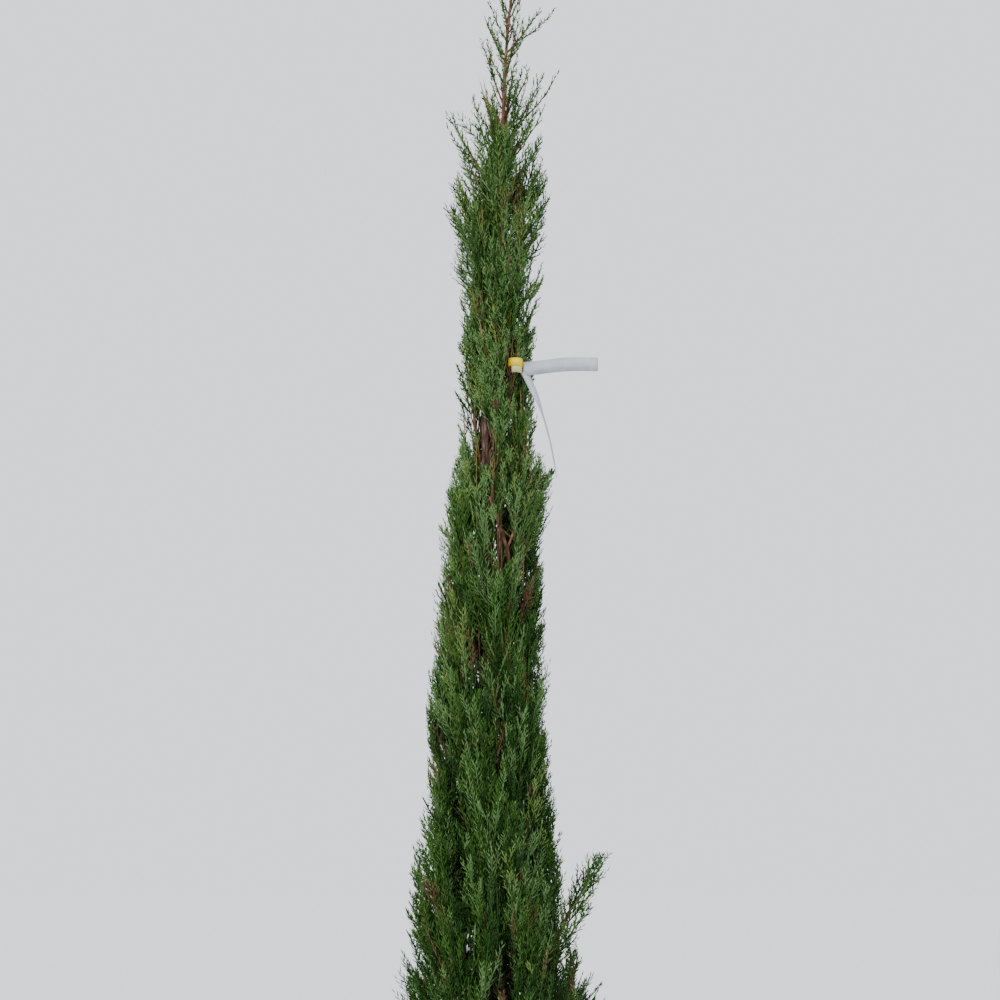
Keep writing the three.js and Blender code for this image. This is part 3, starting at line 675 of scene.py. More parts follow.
# %% The trunk's mesh
def bark_relief(turn, length, radius, seed):
    """Height of the bark's fibres in mm, at an angle round the wood and a length along it."""
    twist = turn + 0.004 * length
    round_it = noise_cells[0] * twist / (2 * math.pi)
    broad = soft_noise(round_it / 4, length / 38, seed)
    ridges = soft_noise(round_it / 2, length / 22, seed + 1)
    fibres = soft_noise(round_it, length / 9, seed + 2)
    return radius * (0.04 * broad + 0.07 * ridges + 0.04 * fibres)


def wood_mesh(points, radii, sides, seed, lobes=None):
    """One closed limb with relief: rings along its line, closed by a fan at each end."""
    steps = len(points)
    along = unit(np.gradient(points, axis=0))
    turn = np.arange(sides) * 2 * math.pi / sides
    length = np.concatenate([[0], np.cumsum(np.linalg.norm(np.diff(points, axis=0), axis=1))])
    relief = bark_relief(turn[None, :], length[:, None], radii[:, None], seed)
    swell = 1 if lobes is None else lobes(turn[None, :], points[:, 2:3])
    furrow = 0.93
    reach = radii[:, None] * swell * furrow + relief
    ring = rings_round(np.zeros((steps, 3)), along, np.ones(steps), sides)
    vertices = (points[:, None] + ring * reach[..., None]).reshape(-1, 3)
    return np.concatenate([vertices, points[:1], points[-1:]]), ring_faces(steps, sides)


def root_flare(turn, heights):
    return 1 + lobe_depth * np.cos(flare_lobes * turn) * np.exp(-(heights - trunk_foot) / (2 * flare_height))


leader_from = 1290
trunk_heights = np.linspace(trunk_foot, leader_from + 4, 260)
trunk_points = trunk_at(trunk_heights)
trunk_arrays = wood_mesh(trunk_points, trunk_radius(trunk_heights), 26, 3, root_flare)
trunk_arrays[0][:, 2] = np.clip(trunk_arrays[0][:, 2], trunk_foot, trunk_top)
leader_heights = np.linspace(leader_from, trunk_top, 90)
leader_arrays = wood_mesh(trunk_at(leader_heights), trunk_radius(leader_heights), 12, 9)
print("trunk bark:", len(trunk_arrays[1]), "triangles")


# %% [markdown]
# Wood materials. Old bark is grey-brown with paler ridges and dark furrows, the boughs are orange-brown, and
# the leader and the twigs are red-brown. All take their colour from noise that is stretched along the
# height, so that it reads as fibres. A flat brown would look like plastic.


# %% Materials for wood
def colour_ramp(tree, stops):
    ramp = tree.nodes.new("ShaderNodeValToRGB")
    elements = ramp.color_ramp.elements
    for element, (place, colour) in zip(elements, (stops[0], stops[-1])):
        element.position, element.color = place, (*colour, 1)
    for place, colour in stops[1:-1]:
        elements.new(place).color = (*colour, 1)
    return ramp


def stretched_noise(tree, scale, stretch, detail=4):
    """Noise in the piece's own metres, with stretch as x, y and z factors."""
    place = tree.nodes.new("ShaderNodeTexCoord")
    mapping = tree.nodes.new("ShaderNodeMapping")
    mapping.inputs["Scale"].default_value = stretch
    noise = tree.nodes.new("ShaderNodeTexNoise")
    noise.inputs["Scale"].default_value = scale
    noise.inputs["Detail"].default_value = detail
    tree.links.new(place.outputs["Object"], mapping.inputs["Vector"])
    tree.links.new(mapping.outputs["Vector"], noise.inputs["Vector"])
    return noise


def finish_with_noise(name, stops, scale, stretch, roughness, bump, bump_scale=None, specular=0.3):
    """A finish whose colour follows noise through stops of (place, colour), with a bump if it isn't 0."""
    material, tree, shader = new_material(name)
    noise = stretched_noise(tree, scale, stretch)
    ramp = colour_ramp(tree, stops)
    tree.links.new(noise.outputs["Fac"], ramp.inputs["Fac"])
    tree.links.new(ramp.outputs["Color"], shader.inputs["Base Color"])
    shader.inputs["Roughness"].default_value = roughness
    shader.inputs["Specular IOR Level"].default_value = specular
    if bump:
        grain = stretched_noise(tree, bump_scale or 3 * scale, stretch)
        relief = tree.nodes.new("ShaderNodeBump")
        relief.inputs["Strength"].default_value = bump
        relief.inputs["Distance"].default_value = mm
        tree.links.new(grain.outputs["Fac"], relief.inputs["Height"])
        tree.links.new(relief.outputs["Normal"], shader.inputs["Normal"])
    return material


def wood_finish(name, places, dark, middle, pale, scale, stretch, roughness, bump):
    stops = list(zip(places, (dark, middle, pale)))
    return finish_with_noise(name, stops, scale, (1, 1, stretch), roughness, bump)


bark = wood_finish("grey_brown_bark", (0.36, 0.5, 0.64), (0.02, 0.009, 0.008), (0.085, 0.042, 0.034),
                   (0.21, 0.125, 0.105), scale=300, stretch=0.2, roughness=0.9, bump=0.9)
young_bark = wood_finish("orange_brown_bark", (0.36, 0.5, 0.64), (0.03, 0.012, 0.008), (0.1, 0.043, 0.022),
                         (0.2, 0.1, 0.05), scale=340, stretch=0.25, roughness=0.85, bump=0.8)
leader_bark = wood_finish("red_brown_leader_bark", (0.34, 0.5, 0.66), (0.06, 0.018, 0.012),
                          (0.13, 0.045, 0.028), (0.24, 0.12, 0.075), scale=300, stretch=0.25,
                          roughness=0.85, bump=0.5)
twig_bark = wood_finish("red_brown_twigs", (0.3, 0.5, 0.72), (0.06, 0.024, 0.012), (0.13, 0.055, 0.024),
                        (0.21, 0.105, 0.05), scale=500, stretch=0.3, roughness=0.8, bump=0)
print("four wood materials")


# %% [markdown]
# Boughs and the stems inside the masses. Each bough leaves the trunk, turns up and runs on as the stem of
# its mass almost to the mass's tip, thinner all the way, where the solids split it into a bough and a
# mass. The two are one limb here, so no joint shows where a gap lets the eye in.


# %% Boughs and stems
def stem_of(plan):
    """The whole limb of a mass: bough, then stem, with its radius."""
    top = plan.high - (0.25 if plan.free else 0.16) * (plan.high - plan.low)
    heights = np.linspace(plan.low, top, 20 if plan.free else 52)
    points = plan.line(heights) if plan.free else pulled_in(plan.line(heights))
    foot_radius = plan.bough.thin if plan.bough else (1.5 if plan.loose else 2.6)
    radii = mix(foot_radius, 0.8, np.linspace(0, 1, len(heights)) ** 0.8)
    if plan.bough:
        t = np.linspace(0, 1, 24)
        bough = bezier(plan.bough.corners, t)[:-1]
        points = np.concatenate([bough, points])
        radii = np.concatenate([mix(plan.bough.thick, plan.bough.thin, t[:-1] ** 0.8), radii])
    return points, radii


# A forked limb that shows in the gap at the front of the crown
crossing_limbs = [np.array([(-9, -2, 880), (34, -26, 925), (6, -42, 958), (-8, -34, 1012)], float),
                  np.array([(11, -34, 944), (9, -42, 956), (24, -40, 966), (17, -30, 992)], float)]
crossing_radii = (3.2, 1.7)
stem_arrays = []
for plan in plans:
    stem_arrays.append(wood_mesh(*stem_of(plan), 7, 100 + 3 * plan.index))
for limb, thick in zip(crossing_limbs, crossing_radii):
    t = np.linspace(0, 1, 40)
    stem_arrays.append(wood_mesh(bezier(limb, t), mix(thick, 0.5 * thick, t), 9, 91))
bough_nodes = [f"bough_{n + 1:02d}" for n in range(len(bough_plans))]
add_piece("trunk_with_bark", trunk_arrays, bark, ["trunk"], smooth=True)
add_piece("boughs_and_stems", joined_arrays(stem_arrays), young_bark, bough_nodes, smooth=True)
add_piece("leader_stem", leader_arrays, leader_bark, ["trunk"], smooth=True)
print("boughs and stems:", sum(len(faces) for _, faces in stem_arrays), "triangles")


# %% [markdown]
# Shoots. A mass is a bundle of upright plumes. Each plume is one shoot that leaves the stem, swings out and
# turns up to its tip. The rule that spread the sprays of the solids is used again, with many more of them:
# two steady fractions give each shoot its height and its side, so they cover the mass evenly. Half of them
# end at the outside of the dense body, the others further in, where they close the view through the crown.
# The further a tip is from the mass's own line, the sooner it stops below the top.

# %% Where the shoots go
shoot_steps = 7
most_shoots, fewest_shoots = 62, 34
loose_shoots = {"leaning": 16, "low leader": 3, "leader": 1, "tip": 2}
shoot_seed = 3000
turn_step = 0.1
# How deep a shoot ends, for every four in turn: the least share of the body's width, and the spread
depth_layers = np.array([(0.93, 0.07), (0.93, 0.07), (0.55, 0.3), (0.15, 0.3)])


def steady(count, fraction):
    """Numbers from 0 to 1 that stay evenly spread, however many there are."""
    return (0.5 + np.arange(count) * fraction) % 1


def side_reach(plan, heights):
    """How far round the crown a mass's own space goes at each height, to either side."""
    centre, crown = crown_at(heights)
    turns = np.arange(1, 16) * turn_step
    reach = []
    for sign in (-1, 1):
        angles = plan.azimuth + sign * turns[None, :]
        points = points_round(centre[:, None], 0.8 * crown[:, None], angles, heights[:, None])
        free = room_to_masses(points.reshape(-1, 3), plan).reshape(len(heights), -1) > -mingling / 2
        reach.append(sign * turn_step * np.where(free.all(1), len(turns), np.argmin(free, axis=1)))
    return reach


def shoots_of(plan):
    """Roots and tips of the shoots, and how deep in the crown each ends, from 0 inside to 1 outside."""
    kind = kind_of(plan)
    count = loose_shoots.get(kind, round(mix(most_shoots, fewest_shoots, plan.u)))
    draw = np.random.default_rng(shoot_seed + plan.index).random((count, 5))
    wanted = leaning_spray if kind == "leaning" else mix(spray_length_low, spray_length_high, plan.u)
    wanted = wanted * (0.8 + 0.4 * draw[:, 0])
    leave = mix(plan.low + 5, plan.high - 0.5 * wanted, steady(count, share_along))
    length = np.minimum(wanted, 1.05 * (plan.high - leave))
    height = leave + 0.95 * length
    root = plan.line(leave)
    if plan.free:
        lean = 0.15 * (0.6 + draw[:, 1]) * length
        tip = plan.line(height) + points_round(0, lean, np.arange(count) * golden_angle, 0)
        tip[:, 2] -= 0.9 * lean * draw[:, 2]
        return root, tip, np.ones(count)
    centre, crown = crown_at(height)
    least, spread = depth_layers[np.arange(count) % len(depth_layers)].T
    depth = least + spread * draw[:, 1]
    low_side, high_side = side_reach(plan, height)
    turn = plan.azimuth + mix(low_side, high_side, steady(count, share_across))
    tip = points_round(centre, crown, turn, height)
    to_middle = points_of(body_middle(height) - centre, 0, 0)
    tip = mix(points_of(centre, 0, height), tip, (depth * body_share(tip))[:, None]) + to_middle
    away = np.linalg.norm(tip - plan.line(height), axis=1)
    top = plan.high - away * (0.5 + 1.3 * draw[:, 2])
    drop = np.maximum(0, height - top)
    leave = np.maximum(plan.low + 3, leave - drop)
    root, tip = pulled_in(plan.line(leave)), tip - drop[:, None] * (0, 0, 1)
    lean = np.linalg.norm((tip - root)[:, :2], axis=1)
    back = np.maximum(0, 1 - 0.62 * (tip - root)[:, 2] / np.maximum(lean, 1e-6))[:, None]
    tip = mix(tip, np.concatenate([root[:, :2], tip[:, 2:]], axis=1), back)
    return root, tip, depth


def bent_paths(root, tip, out=0.6):
    """Curves that swing out first and then turn up to their tips."""
    bend = root + (tip - root) * (out, out, 0.36)
    t = np.linspace(0, 1, shoot_steps)[None, :, None]
    return simple_curve(root[:, None], bend[:, None], tip[:, None], t)


def own_shoots(plan):
    """The plumes of a mass that keep to its space; the stem's own top is the first of them."""
    root, tip, depth = shoots_of(plan)
    paths, depths = [], []
    for scale in (1, 0.86, 0.72, 0.58):
        tried = bent_paths(root, mix(root, tip, scale))
        good = paths_fit(tried, 2, plan, 2)
        paths.append(tried[good])
        depths.append(depth[good])
        root, tip, depth = root[~good], tip[~good], depth[~good]
        if not len(root):
            break
    start = mix(plan.high, plan.low, 1 if plan.loose else 0.3)
    top = plan.line(np.linspace(start, plan.high, shoot_steps))[None]
    return np.concatenate([top, *paths]), np.concatenate([[0.6], *depths])


for plan in plans:
    plan.shoots, plan.depths = own_shoots(plan)
print(sum(len(plan.shoots) for plan in plans), "shoots of masses")


# %% [markdown]
# Three more kinds of shoot. Short ones leave the trunk and the boughs, and hide most of the bare wood, as
# on the real plant. Others fill places on the outside where no shoot ended, since a rule that spreads
# them by chance leaves holes. Short single sprigs rise off the leader between its side shoots.


# %% Shoots on limbs, for bare places and on the leader
def short_shoots(plan):
    """Short shoots that leave the trunk and the boughs themselves and rise close beside them."""
    leave = np.arange(plan.low, plan.high - 60, 5.5)
    roots, above = [trunk_at(leave)], [trunk_at(leave + 1)]
    limbs = [(other.bough.corners, np.linspace(0.35, 1, 7)) for other in bough_plans]
    limbs += [(limb, np.linspace(0.75, 1, 5)) for limb in crossing_limbs]
    for corners, t in limbs:
        roots.append(bezier(corners, t))
        above.append(bezier(corners, t - 0.01) + (0, 0, 1))
    roots, above = np.concatenate(roots), np.concatenate(above)
    draw = np.random.default_rng(shoot_seed - 1).random((len(roots), 2))
    turn = golden_angle * np.arange(len(roots))
    rise = 62 + 34 * draw[:, 0]
    out = 9 + np.interp(roots[:, 2], (1150, 1250), (22, 34)) * draw[:, 1]
    tip = roots + rise[:, None] * unit(above - roots) * (0.5, 0.5, 1)
    tip += points_round(0, out, turn, 0)
    paths = bent_paths(roots, tip)
    good = paths_fit(paths, 3, plan)
    return paths[good], np.full(good.sum(), 0.3)


def still_bare(tips, apart):
    """The numbers of the tips that are that far from the outer ends of all shoots and from each other."""
    taken = [point for other in plans[:mass_count] for path in other.shoots[other.depths > 0.9]
             for point in path[4:]]
    kept = []
    for n, tip in enumerate(tips):
        if (((np.array(taken) - tip) ** 2).sum(1) > apart[n] ** 2).all():
            taken.append(tip)
            kept.append(n)
    return kept


def feet_for(tips, rise):
    """The point on a mass's line that leads up to each tip most steeply, and whether it is steep enough."""
    lowest_climb, most_lean = 45, 0.9
    feet, leans = [], []
    for other in plans[:mass_count]:
        foot = pulled_in(other.line(np.clip(tips[:, 2] - rise, other.low + 3, other.high - 20)))
        climb = tips[:, 2] - foot[:, 2]
        away = np.linalg.norm((tips - foot)[:, :2], axis=1)
        feet.append(foot)
        leans.append(np.where(climb > lowest_climb, away / np.maximum(climb, 1), np.inf))
    best = np.argmin(leans, axis=0)
    return np.array(feet)[best, np.arange(len(tips))], np.min(leans, axis=0) < most_lean


def shoots_for_bare_places(plan, count):
    """Shoots that end on the outside of the dense body wherever no other shoot does."""
    draw = np.random.default_rng(shoot_seed - 2).random((count, 2))
    height = mix(lowest_bare, highest_bare, steady(count, share_along))
    centre, crown = crown_at(height)
    turn = np.arange(count) * golden_angle
    tips = points_round(centre, crown, turn, height)
    low_down = np.interp(height, (480, 600), (1.06, 1.0))
    share = low_down * (0.93 + 0.07 * draw[:, 0]) * body_share(tips)
    tips = mix(points_of(centre, 0, height), tips, share[:, None])
    tips[:, 0] += body_middle(height) - centre
    kept = still_bare(tips, np.interp(height, (560, 640), (0.75, 1)) * bare_distance)
    tips = tips[kept]
    rise = np.interp(tips[:, 2], (500, 900), (96, 70)) + 44 * draw[kept, 1]
    roots, reached = feet_for(tips, rise)
    paths = bent_paths(roots[reached], tips[reached], 0.7)
    good = paths_fit(paths, 3, plan, 8)
    print("bare places:", len(tips), "and shoots for them:", good.sum())
    return paths[good], np.ones(good.sum())


def leader_sprigs():
    """Short single sprigs that rise steeply off the leader between its side shoots."""
    leave = np.arange(1462, 1692, 7)
    draw = np.random.default_rng(shoot_seed - 3).random((len(leave), 2))
    turn = golden_angle * np.arange(len(leave)) + 0.4 * draw[:, 0]
    rise = (30 + 30 * draw[:, 1]) * np.interp(leave, (1620, 1690), (1, 0.5))
    root = trunk_at(leave)
    tip = root + points_round(0, 0.4 * rise, turn, rise)
    return bent_paths(root, tip), np.ones(len(leave))


bare_distance, lowest_bare, highest_bare = 21, 372, 1470
growth_low, growth_high = 290, 1560
trunk_growth = mass("inner", growth_low, growth_high, u=0.5, free=False)
outer_growth = mass("outer", growth_low, growth_high, u=0.3, free=False)
sprig_growth = mass("sprig", 1460, plant_height)
trunk_growth.shoots, trunk_growth.depths = short_shoots(trunk_growth)
outer_growth.shoots, outer_growth.depths = shoots_for_bare_places(outer_growth, 1800)
sprig_growth.shoots, sprig_growth.depths = leader_sprigs()
growths = plans + [trunk_growth, outer_growth, sprig_growth]
for index, plan in enumerate(growths):
    plan.index = index
print(sum(len(plan.shoots) for plan in growths), "shoots in all")


# %% [markdown]
# Side twigs. Along its outer three quarters a shoot carries short side twigs at about 30 degrees, all
# round, which make the dense body. Near its foot it is bare, because leaves in the shade die off, and that
# is why dark gaps and red-brown wood show between the plumes. Each kind of twig is grown for a whole mass
# at once, since a loop over single twigs would take minutes.


# %% Side twigs
def at_share(paths, shares):
    """Points and directions on each path at its own row of shares of its length."""
    steps = paths.shape[1] - 1
    place = np.clip(shares * steps, 0, steps - 1e-6)
    k = np.floor(place).astype(int)
    t = (place - k)[:, :, None]
    rows = np.arange(len(paths))[:, None]
    before, after = paths[rows, k], paths[rows, k + 1]
    return mix(before, after, t), unit(after - before)


def tilted(along, angle, turn):
    """Directions that lean by an angle away from others, turned round them."""
    side = rings_round(np.zeros_like(along), along, np.ones(along.shape[:-1]), 1, turn)[..., 0, :]
    return np.cos(angle)[..., None] * along + np.sin(angle)[..., None] * side


def curved_twigs(base, out, reach, steps, lift):
    """Twigs that leave their base along out and turn up a little towards their tips."""
    tip = base + reach[..., None] * unit(out + np.asarray((0, 0, lift)))
    bend = base + 0.5 * reach[..., None] * out
    t = np.linspace(0, 1, steps)[:, None]
    twigs = simple_curve(base[..., None, :], bend[..., None, :], tip[..., None, :], t)
    return twigs.reshape(-1, steps, 3)


def repeated(rows, like):
    """One value for each row, repeated for every place in that row."""
    return np.broadcast_to(rows[:, None], like.shape).reshape(-1)


twig_reach = {"sprig": 12, "leader": 17, "low leader": 17, "tip": 17, "leaning": 25}
twig_reach_low, twig_reach_high = 33, 25
any_turn = 6.28


def body_twigs(plan, chance):
    """Short side twigs all round each shoot, and the shoot that each belongs to."""
    paths = plan.shoots
    lengths = np.linalg.norm(paths[:, -1] - paths[:, 0], axis=1)
    per_shoot = max(5, round(float(lengths.mean()) / (16 if plan.loose else 7.2)))
    share = np.linspace(0.14 if plan.loose else 0.26, 0.98, per_shoot)[None]
    share = share + chance.uniform(-0.02, 0.02, (len(paths), per_shoot))
    base, along = at_share(paths, share)
    turn = golden_angle * np.arange(per_shoot)[None] + chance.uniform(0, any_turn, (len(paths), 1))
    turn = turn + chance.normal(0, 0.3, turn.shape)
    angle = chance.normal(0.42 if plan.loose else 0.5, 0.1, turn.shape)
    reach = twig_reach.get(kind_of(plan), mix(twig_reach_low, twig_reach_high, plan.u))
    reach = reach * np.interp(share, (0.1, 0.35, 1), (0.7, 1, 0.4))
    reach = reach * chance.uniform(0.7, 1.25, share.shape)
    reach = reach * np.clip(lengths / lengths.mean(), 0.5, 1.3)[:, None]
    twigs = curved_twigs(base, tilted(along, angle, turn), reach, 3, 0.3)
    good = fits(twigs[:, 1], 0.6, plan, 1, body=True) & fits(twigs[:, 2], 0.6, plan, 6, body=True)
    return twigs[good], repeated(np.arange(len(paths)), share)[good]


print("side twigs reach about", twig_reach["sprig"], "to", twig_reach_low, "mm")


# %% [markdown]
# Feathers. Outer shoots also carry longer flat twigs, which lean out of the body as far as the crown's
# outline. They are thinly set, so the sky shows through. High in the crown each opens into a small fan of
# side axes. On the loose shoots of the leader the axis itself carries the flat branchlets.


# %% Feathers and their side axes
shortest_feather, longest_feather = 18, 62


def feathers(plan, chance):
    """Long flat side twigs on the outer shoots, which lean out to the crown's outline."""
    if plan.loose:
        shares = np.broadcast_to(np.linspace(0.12, 1, 5), (len(plan.shoots), 5))
        return at_share(plan.shoots, shares)[0], np.arange(len(plan.shoots))
    outer = np.flatnonzero((plan.depths > 0.9) & (not plan.free))
    per_shoot = 6 if plan.u < 0.6 else 2
    share = np.linspace(0.42, 0.97, per_shoot)[None] + chance.uniform(-0.05, 0.03, (len(outer), per_shoot))
    base, along = at_share(plan.shoots[outer], share)
    centre, crown = crown_at(base[..., 2])
    outward = base - points_of(centre, 0, base[..., 2])
    off = np.linalg.norm(outward, axis=-1)
    outward = unit(outward + 0.45 * off[..., None] * chance.normal(0, 1, base.shape) * (1, 1, 0))
    angle = np.clip(chance.normal(0.52, 0.12, off.shape), 0.25, 0.85)
    out = unit(np.sin(angle)[..., None] * outward + np.cos(angle)[..., None] * along)
    spread = np.interp(base[..., 2], (480, 560), (1.12, 1.02))
    gap = crown * spread * chance.uniform(0.9, 1.02, off.shape) - off
    reach = np.clip(gap / np.sin(angle) * 1.1, shortest_feather, longest_feather)
    twigs = curved_twigs(base, out, reach, 5, 0.22)
    overhang = np.interp(twigs[:, 4, 2], (500, 600), (14, 4))
    good = fits(twigs[:, 3], 0.6, plan, overhang) & fits(twigs[:, 4], 0.6, plan, overhang)
    good &= chance.random(len(good)) < np.interp(base[..., 2].ravel(), (820, 1080), (0.7, 0.95))
    return twigs[good], repeated(outer, share)[good]


def side_axes(plan, feather, owner, chance):
    """Short axes left and right of a feather, all in its plane, so that it opens like a small fan."""
    axes_each = 6
    chosen = feather[:, -1, 2] > np.interp(chance.random(len(feather)), (0, 1), (950, 1150))
    feather, owner = feather[chosen], owner[chosen]
    share = np.linspace(0.2, 0.86, axes_each)[None] + chance.uniform(-0.04, 0.04, (len(feather), axes_each))
    base, along = at_share(feather, share)
    plane = chance.uniform(0, 3.14, (len(feather), 1))
    angle = chance.normal(0.55, 0.07, share.shape)
    out = tilted(along, angle, plane + math.pi * np.arange(axes_each)[None])
    length = np.linalg.norm(feather[:, -1] - feather[:, 0], axis=1)[:, None]
    reach = 0.36 * length * np.interp(share, (0.2, 0.45, 0.86), (0.7, 1, 0.5))
    reach = reach * chance.uniform(0.7, 1.2, share.shape)
    axes = curved_twigs(base, out, reach, 3, 0.15)
    good = fits(axes[:, 1], 0.5, plan, 6) & fits(axes[:, 2], 0.5, plan, 6)
    return axes[good], repeated(owner, share)[good]


for plan in growths:
    chance = np.random.default_rng(5000 + plan.index)
    plan.twigs = [body_twigs(plan, chance), feathers(plan, chance)]
    if not plan.free and plan.kind != "inner":
        plan.twigs.append(side_axes(plan, *plan.twigs[1], chance))
print(sum(len(plan.twigs[0][0]) for plan in growths), "side twigs,",
      sum(len(plan.twigs[1][0]) for plan in growths), "feathers,",
      sum(len(plan.twigs[2][0]) for plan in growths if len(plan.twigs) > 2), "side axes on feathers")


# %% [markdown]
# Branchlets are the finest order on the plant: green threads, most of them 5 to 15 mm long, at about 35
# degrees. In the body they stand all round a twig. On a feather they lie in one plane, left and right in
# turn. Each is tested, and those that would leave the crown or the mass's space are left out. Deep in the
# shade they are thicker, and low in the crown only about a quarter as many, since they are only seen as
# darkness behind the rest.


# %% Grow the branchlets
thinnest, thickest = 0.56, 0.82
shade_from, shaded_thicker = 0.64, 1.6
# From one branchlet to the next, round a twig of the body
body_turn = 2.4


def branchlets(plan, twigs, spacing, flat, chance, size_share):
    """Bases, tips, radii and turns of the branchlets on many twigs, and each one's twig."""
    size = np.linalg.norm(twigs[:, -1] - twigs[:, 0], axis=1)[:, None]
    per_twig = max(4, round(float(size.mean()) / spacing))
    share = np.linspace(0.1, 0.99, per_twig)[None] + chance.uniform(-0.03, 0.01, (len(twigs), per_twig))
    base, along = at_share(twigs, share)
    start = chance.uniform(0, any_turn, (len(twigs), 1))
    step = math.pi if flat else body_turn
    turn = step * np.arange(per_twig)[None] + start + chance.normal(0, 0.25, share.shape)
    angle = chance.normal(0.58, 0.1, share.shape) * np.interp(share, (0.9, 0.99), (1, 0.3))
    length = np.interp(size, (10, 45), (8.3, 13.2)) * np.interp(share, (0.1, 0.4, 1), (0.9, 1, 0.65))
    length = size_share * length * chance.uniform(0.75, 1.25, share.shape)
    tip = base + length[..., None] * unit(tilted(along, angle, turn) + np.asarray((0, 0, 0.15)))
    base, tip = base.reshape(-1, 3), tip.reshape(-1, 3)
    overhang = np.interp(tip[:, 2], (500, 600), (16, 5)) if flat else 9
    good = fits(tip, 0.4, plan, overhang, body=not flat)
    shaded = off_middle(tip) < shade_from * crown_at(tip[:, 2])[1] * body_share(tip)
    shaded &= not plan.free
    good &= ~shaded | (chance.random(len(base)) < np.interp(tip[:, 2], (1060, 1160), (0.28, 0.95)))
    radius = chance.uniform(thinnest, thickest, len(base)) * np.where(shaded, shaded_thicker, 1)
    turns = chance.uniform(0, 2, good.sum())
    return [base[good], tip[good], radius[good], turns], repeated(np.arange(len(twigs)), share)[good]


for plan in growths:
    chance = np.random.default_rng(6000 + plan.index)
    on_body = 3.6 if plan.loose else (3.4 if plan.kind == "inner" else 3.05)
    on_feather, on_axis = 4.6 if plan.loose else 3.4, 3
    size_share = 0.68 if plan.loose else (0.9 if kind_of(plan) == "leaning" else 1)
    kinds = zip(plan.twigs, (on_body, on_feather, on_axis), (plan.loose, True, True),
                (size_share, size_share, 0.62))
    plan.leaves = [branchlets(plan, twigs, spacing, flat, chance, share)
                   for (twigs, _), spacing, flat, share in kinds if len(twigs)]
print(sum(len(owner) for plan in growths for _, owner in plan.leaves), "branchlets")


# %% [markdown]
# Colours of the sprays. The plant isn't one green: new growth is yellow-green, most sprays are mid green,
# a few are bluish, and a few have dried to brown. Sprays deep inside the crown, where shade falls, are
# mostly dealt deep green: that is painted shade. Near the foot more of them are deep, as painted shade
# too, and high up more are fresh, partly for new growth and partly as painted light. Many feathers high
# up are mid green or deep, as painted shade for their dark outline against the sky. Each spray has its
# own tone, so the colours are dealt out spray by spray, and each colour is a piece of its own with one
# material. A pattern painted over the whole crown would cut across the sprays.

# %% Deal out the colours
spray_slots = {"mid_green": "foliage_green_1", "deep_green": "foliage_green_3",
               "fresh_green": "foliage_green_2", "yellow_green": "foliage_green_4",
               "blue_green": "foliage_green_5", "dry_brown": "bough_bark"}
# Shares of these six colours: at the foot, low and high in the crown, inside it low and high, on feathers
# Deeper mixes at the foot, inside and on high feathers are painted shade; the high mix is partly painted
# light
foot_painted_shade_shares, low_shares, high_fresh_and_painted_light_shares, inner_painted_shade_shares, inner_high_painted_shade_shares, feather_painted_shade_shares = np.array([
    (0.35, 0.4, 0.1, 0.02, 0.1, 0.03), (0.35, 0.29, 0.2, 0.03, 0.09, 0.04),
    (0.22, 0.04, 0.53, 0.14, 0.05, 0.02), (0.2, 0.56, 0.04, 0.02, 0.11, 0.07),
    (0.38, 0.2, 0.28, 0.07, 0.04, 0.03), (0.36, 0.22, 0.2, 0.06, 0.16, 0.0)])


def dealt(chances, shares):
    """The number of the colour that each chance from 0 to 1 falls on."""
    return (chances > np.cumsum(shares, axis=-1)[..., :-1]).sum(1)


# Branchlets of each colour, and its twigs by their number of points: 3 for side twigs and 5 for feathers
leaf_rows = {colour: [] for colour in spray_slots}
twig_rows = {colour: {3: [], 5: []} for colour in spray_slots}
for plan in growths:
    chance = np.random.default_rng(7000 + plan.index)
    outside = (plan.depths > 0.9)[:, None]
    height = plan.shoots[:, -1, 2:]
    # Near the foot the mix takes more deep tones: painted shade.
    outer_shares = mix(foot_painted_shade_shares, low_shares, smooth_step(height, 500, 640))
    # High up it takes more fresh and yellow tones: partly new growth, partly painted light.
    outer_shares = mix(outer_shares, high_fresh_and_painted_light_shares, smooth_step(height, 720, 1150))
    painted_shade_mix = mix(inner_painted_shade_shares, inner_high_painted_shade_shares, smooth_step(height, 920, 1120))
    of_shoot = dealt(chance.random((len(plan.shoots), 1)), np.where(outside, outer_shares, painted_shade_mix))
    for order, ((twigs, shoot), (leaves, twig)) in enumerate(zip(plan.twigs, plan.leaves)):
        of_twig = of_shoot[shoot]
        ends = twigs[:, -1]
        off = off_middle(ends) / crown_at(ends[:, 2])[1]
        # Twigs that end deep inside the crown are mostly dealt the deep mix: painted shade.
        shaded = (off < 0.66 * body_share(ends)) & (not plan.free)
        strays = chance.random(len(of_twig)) < np.where(shaded, 0.8, 0.2)
        at_random = chance.random((len(of_twig), 1))
        shares = np.where(shaded[:, None], painted_shade_mix[shoot], outer_shares[shoot])
        of_twig = np.where(strays, dealt(at_random, shares), of_twig)
        # High feathers, their side axes and loose shoots take deeper tones: painted shade for their dark
        # outline against the sky.
        if (order and not plan.free) or plan.loose:
            painted_shade_twigs = chance.random(len(ends)) < 0.7 * smooth_step(ends[:, 2], 1100, 1250)
            of_twig = np.where(painted_shade_twigs, dealt(at_random, feather_painted_shade_shares), of_twig)
        of_leaf = of_twig[twig]
        for number, colour in enumerate(spray_slots):
            chosen = of_leaf == number
            leaf_rows[colour].append([values[chosen] for values in leaves])
            twig_rows[colour][twigs.shape[1]].append(twigs[of_twig == number])
print({colour: sum(len(row[0]) for row in rows) for colour, rows in leaf_rows.items()})


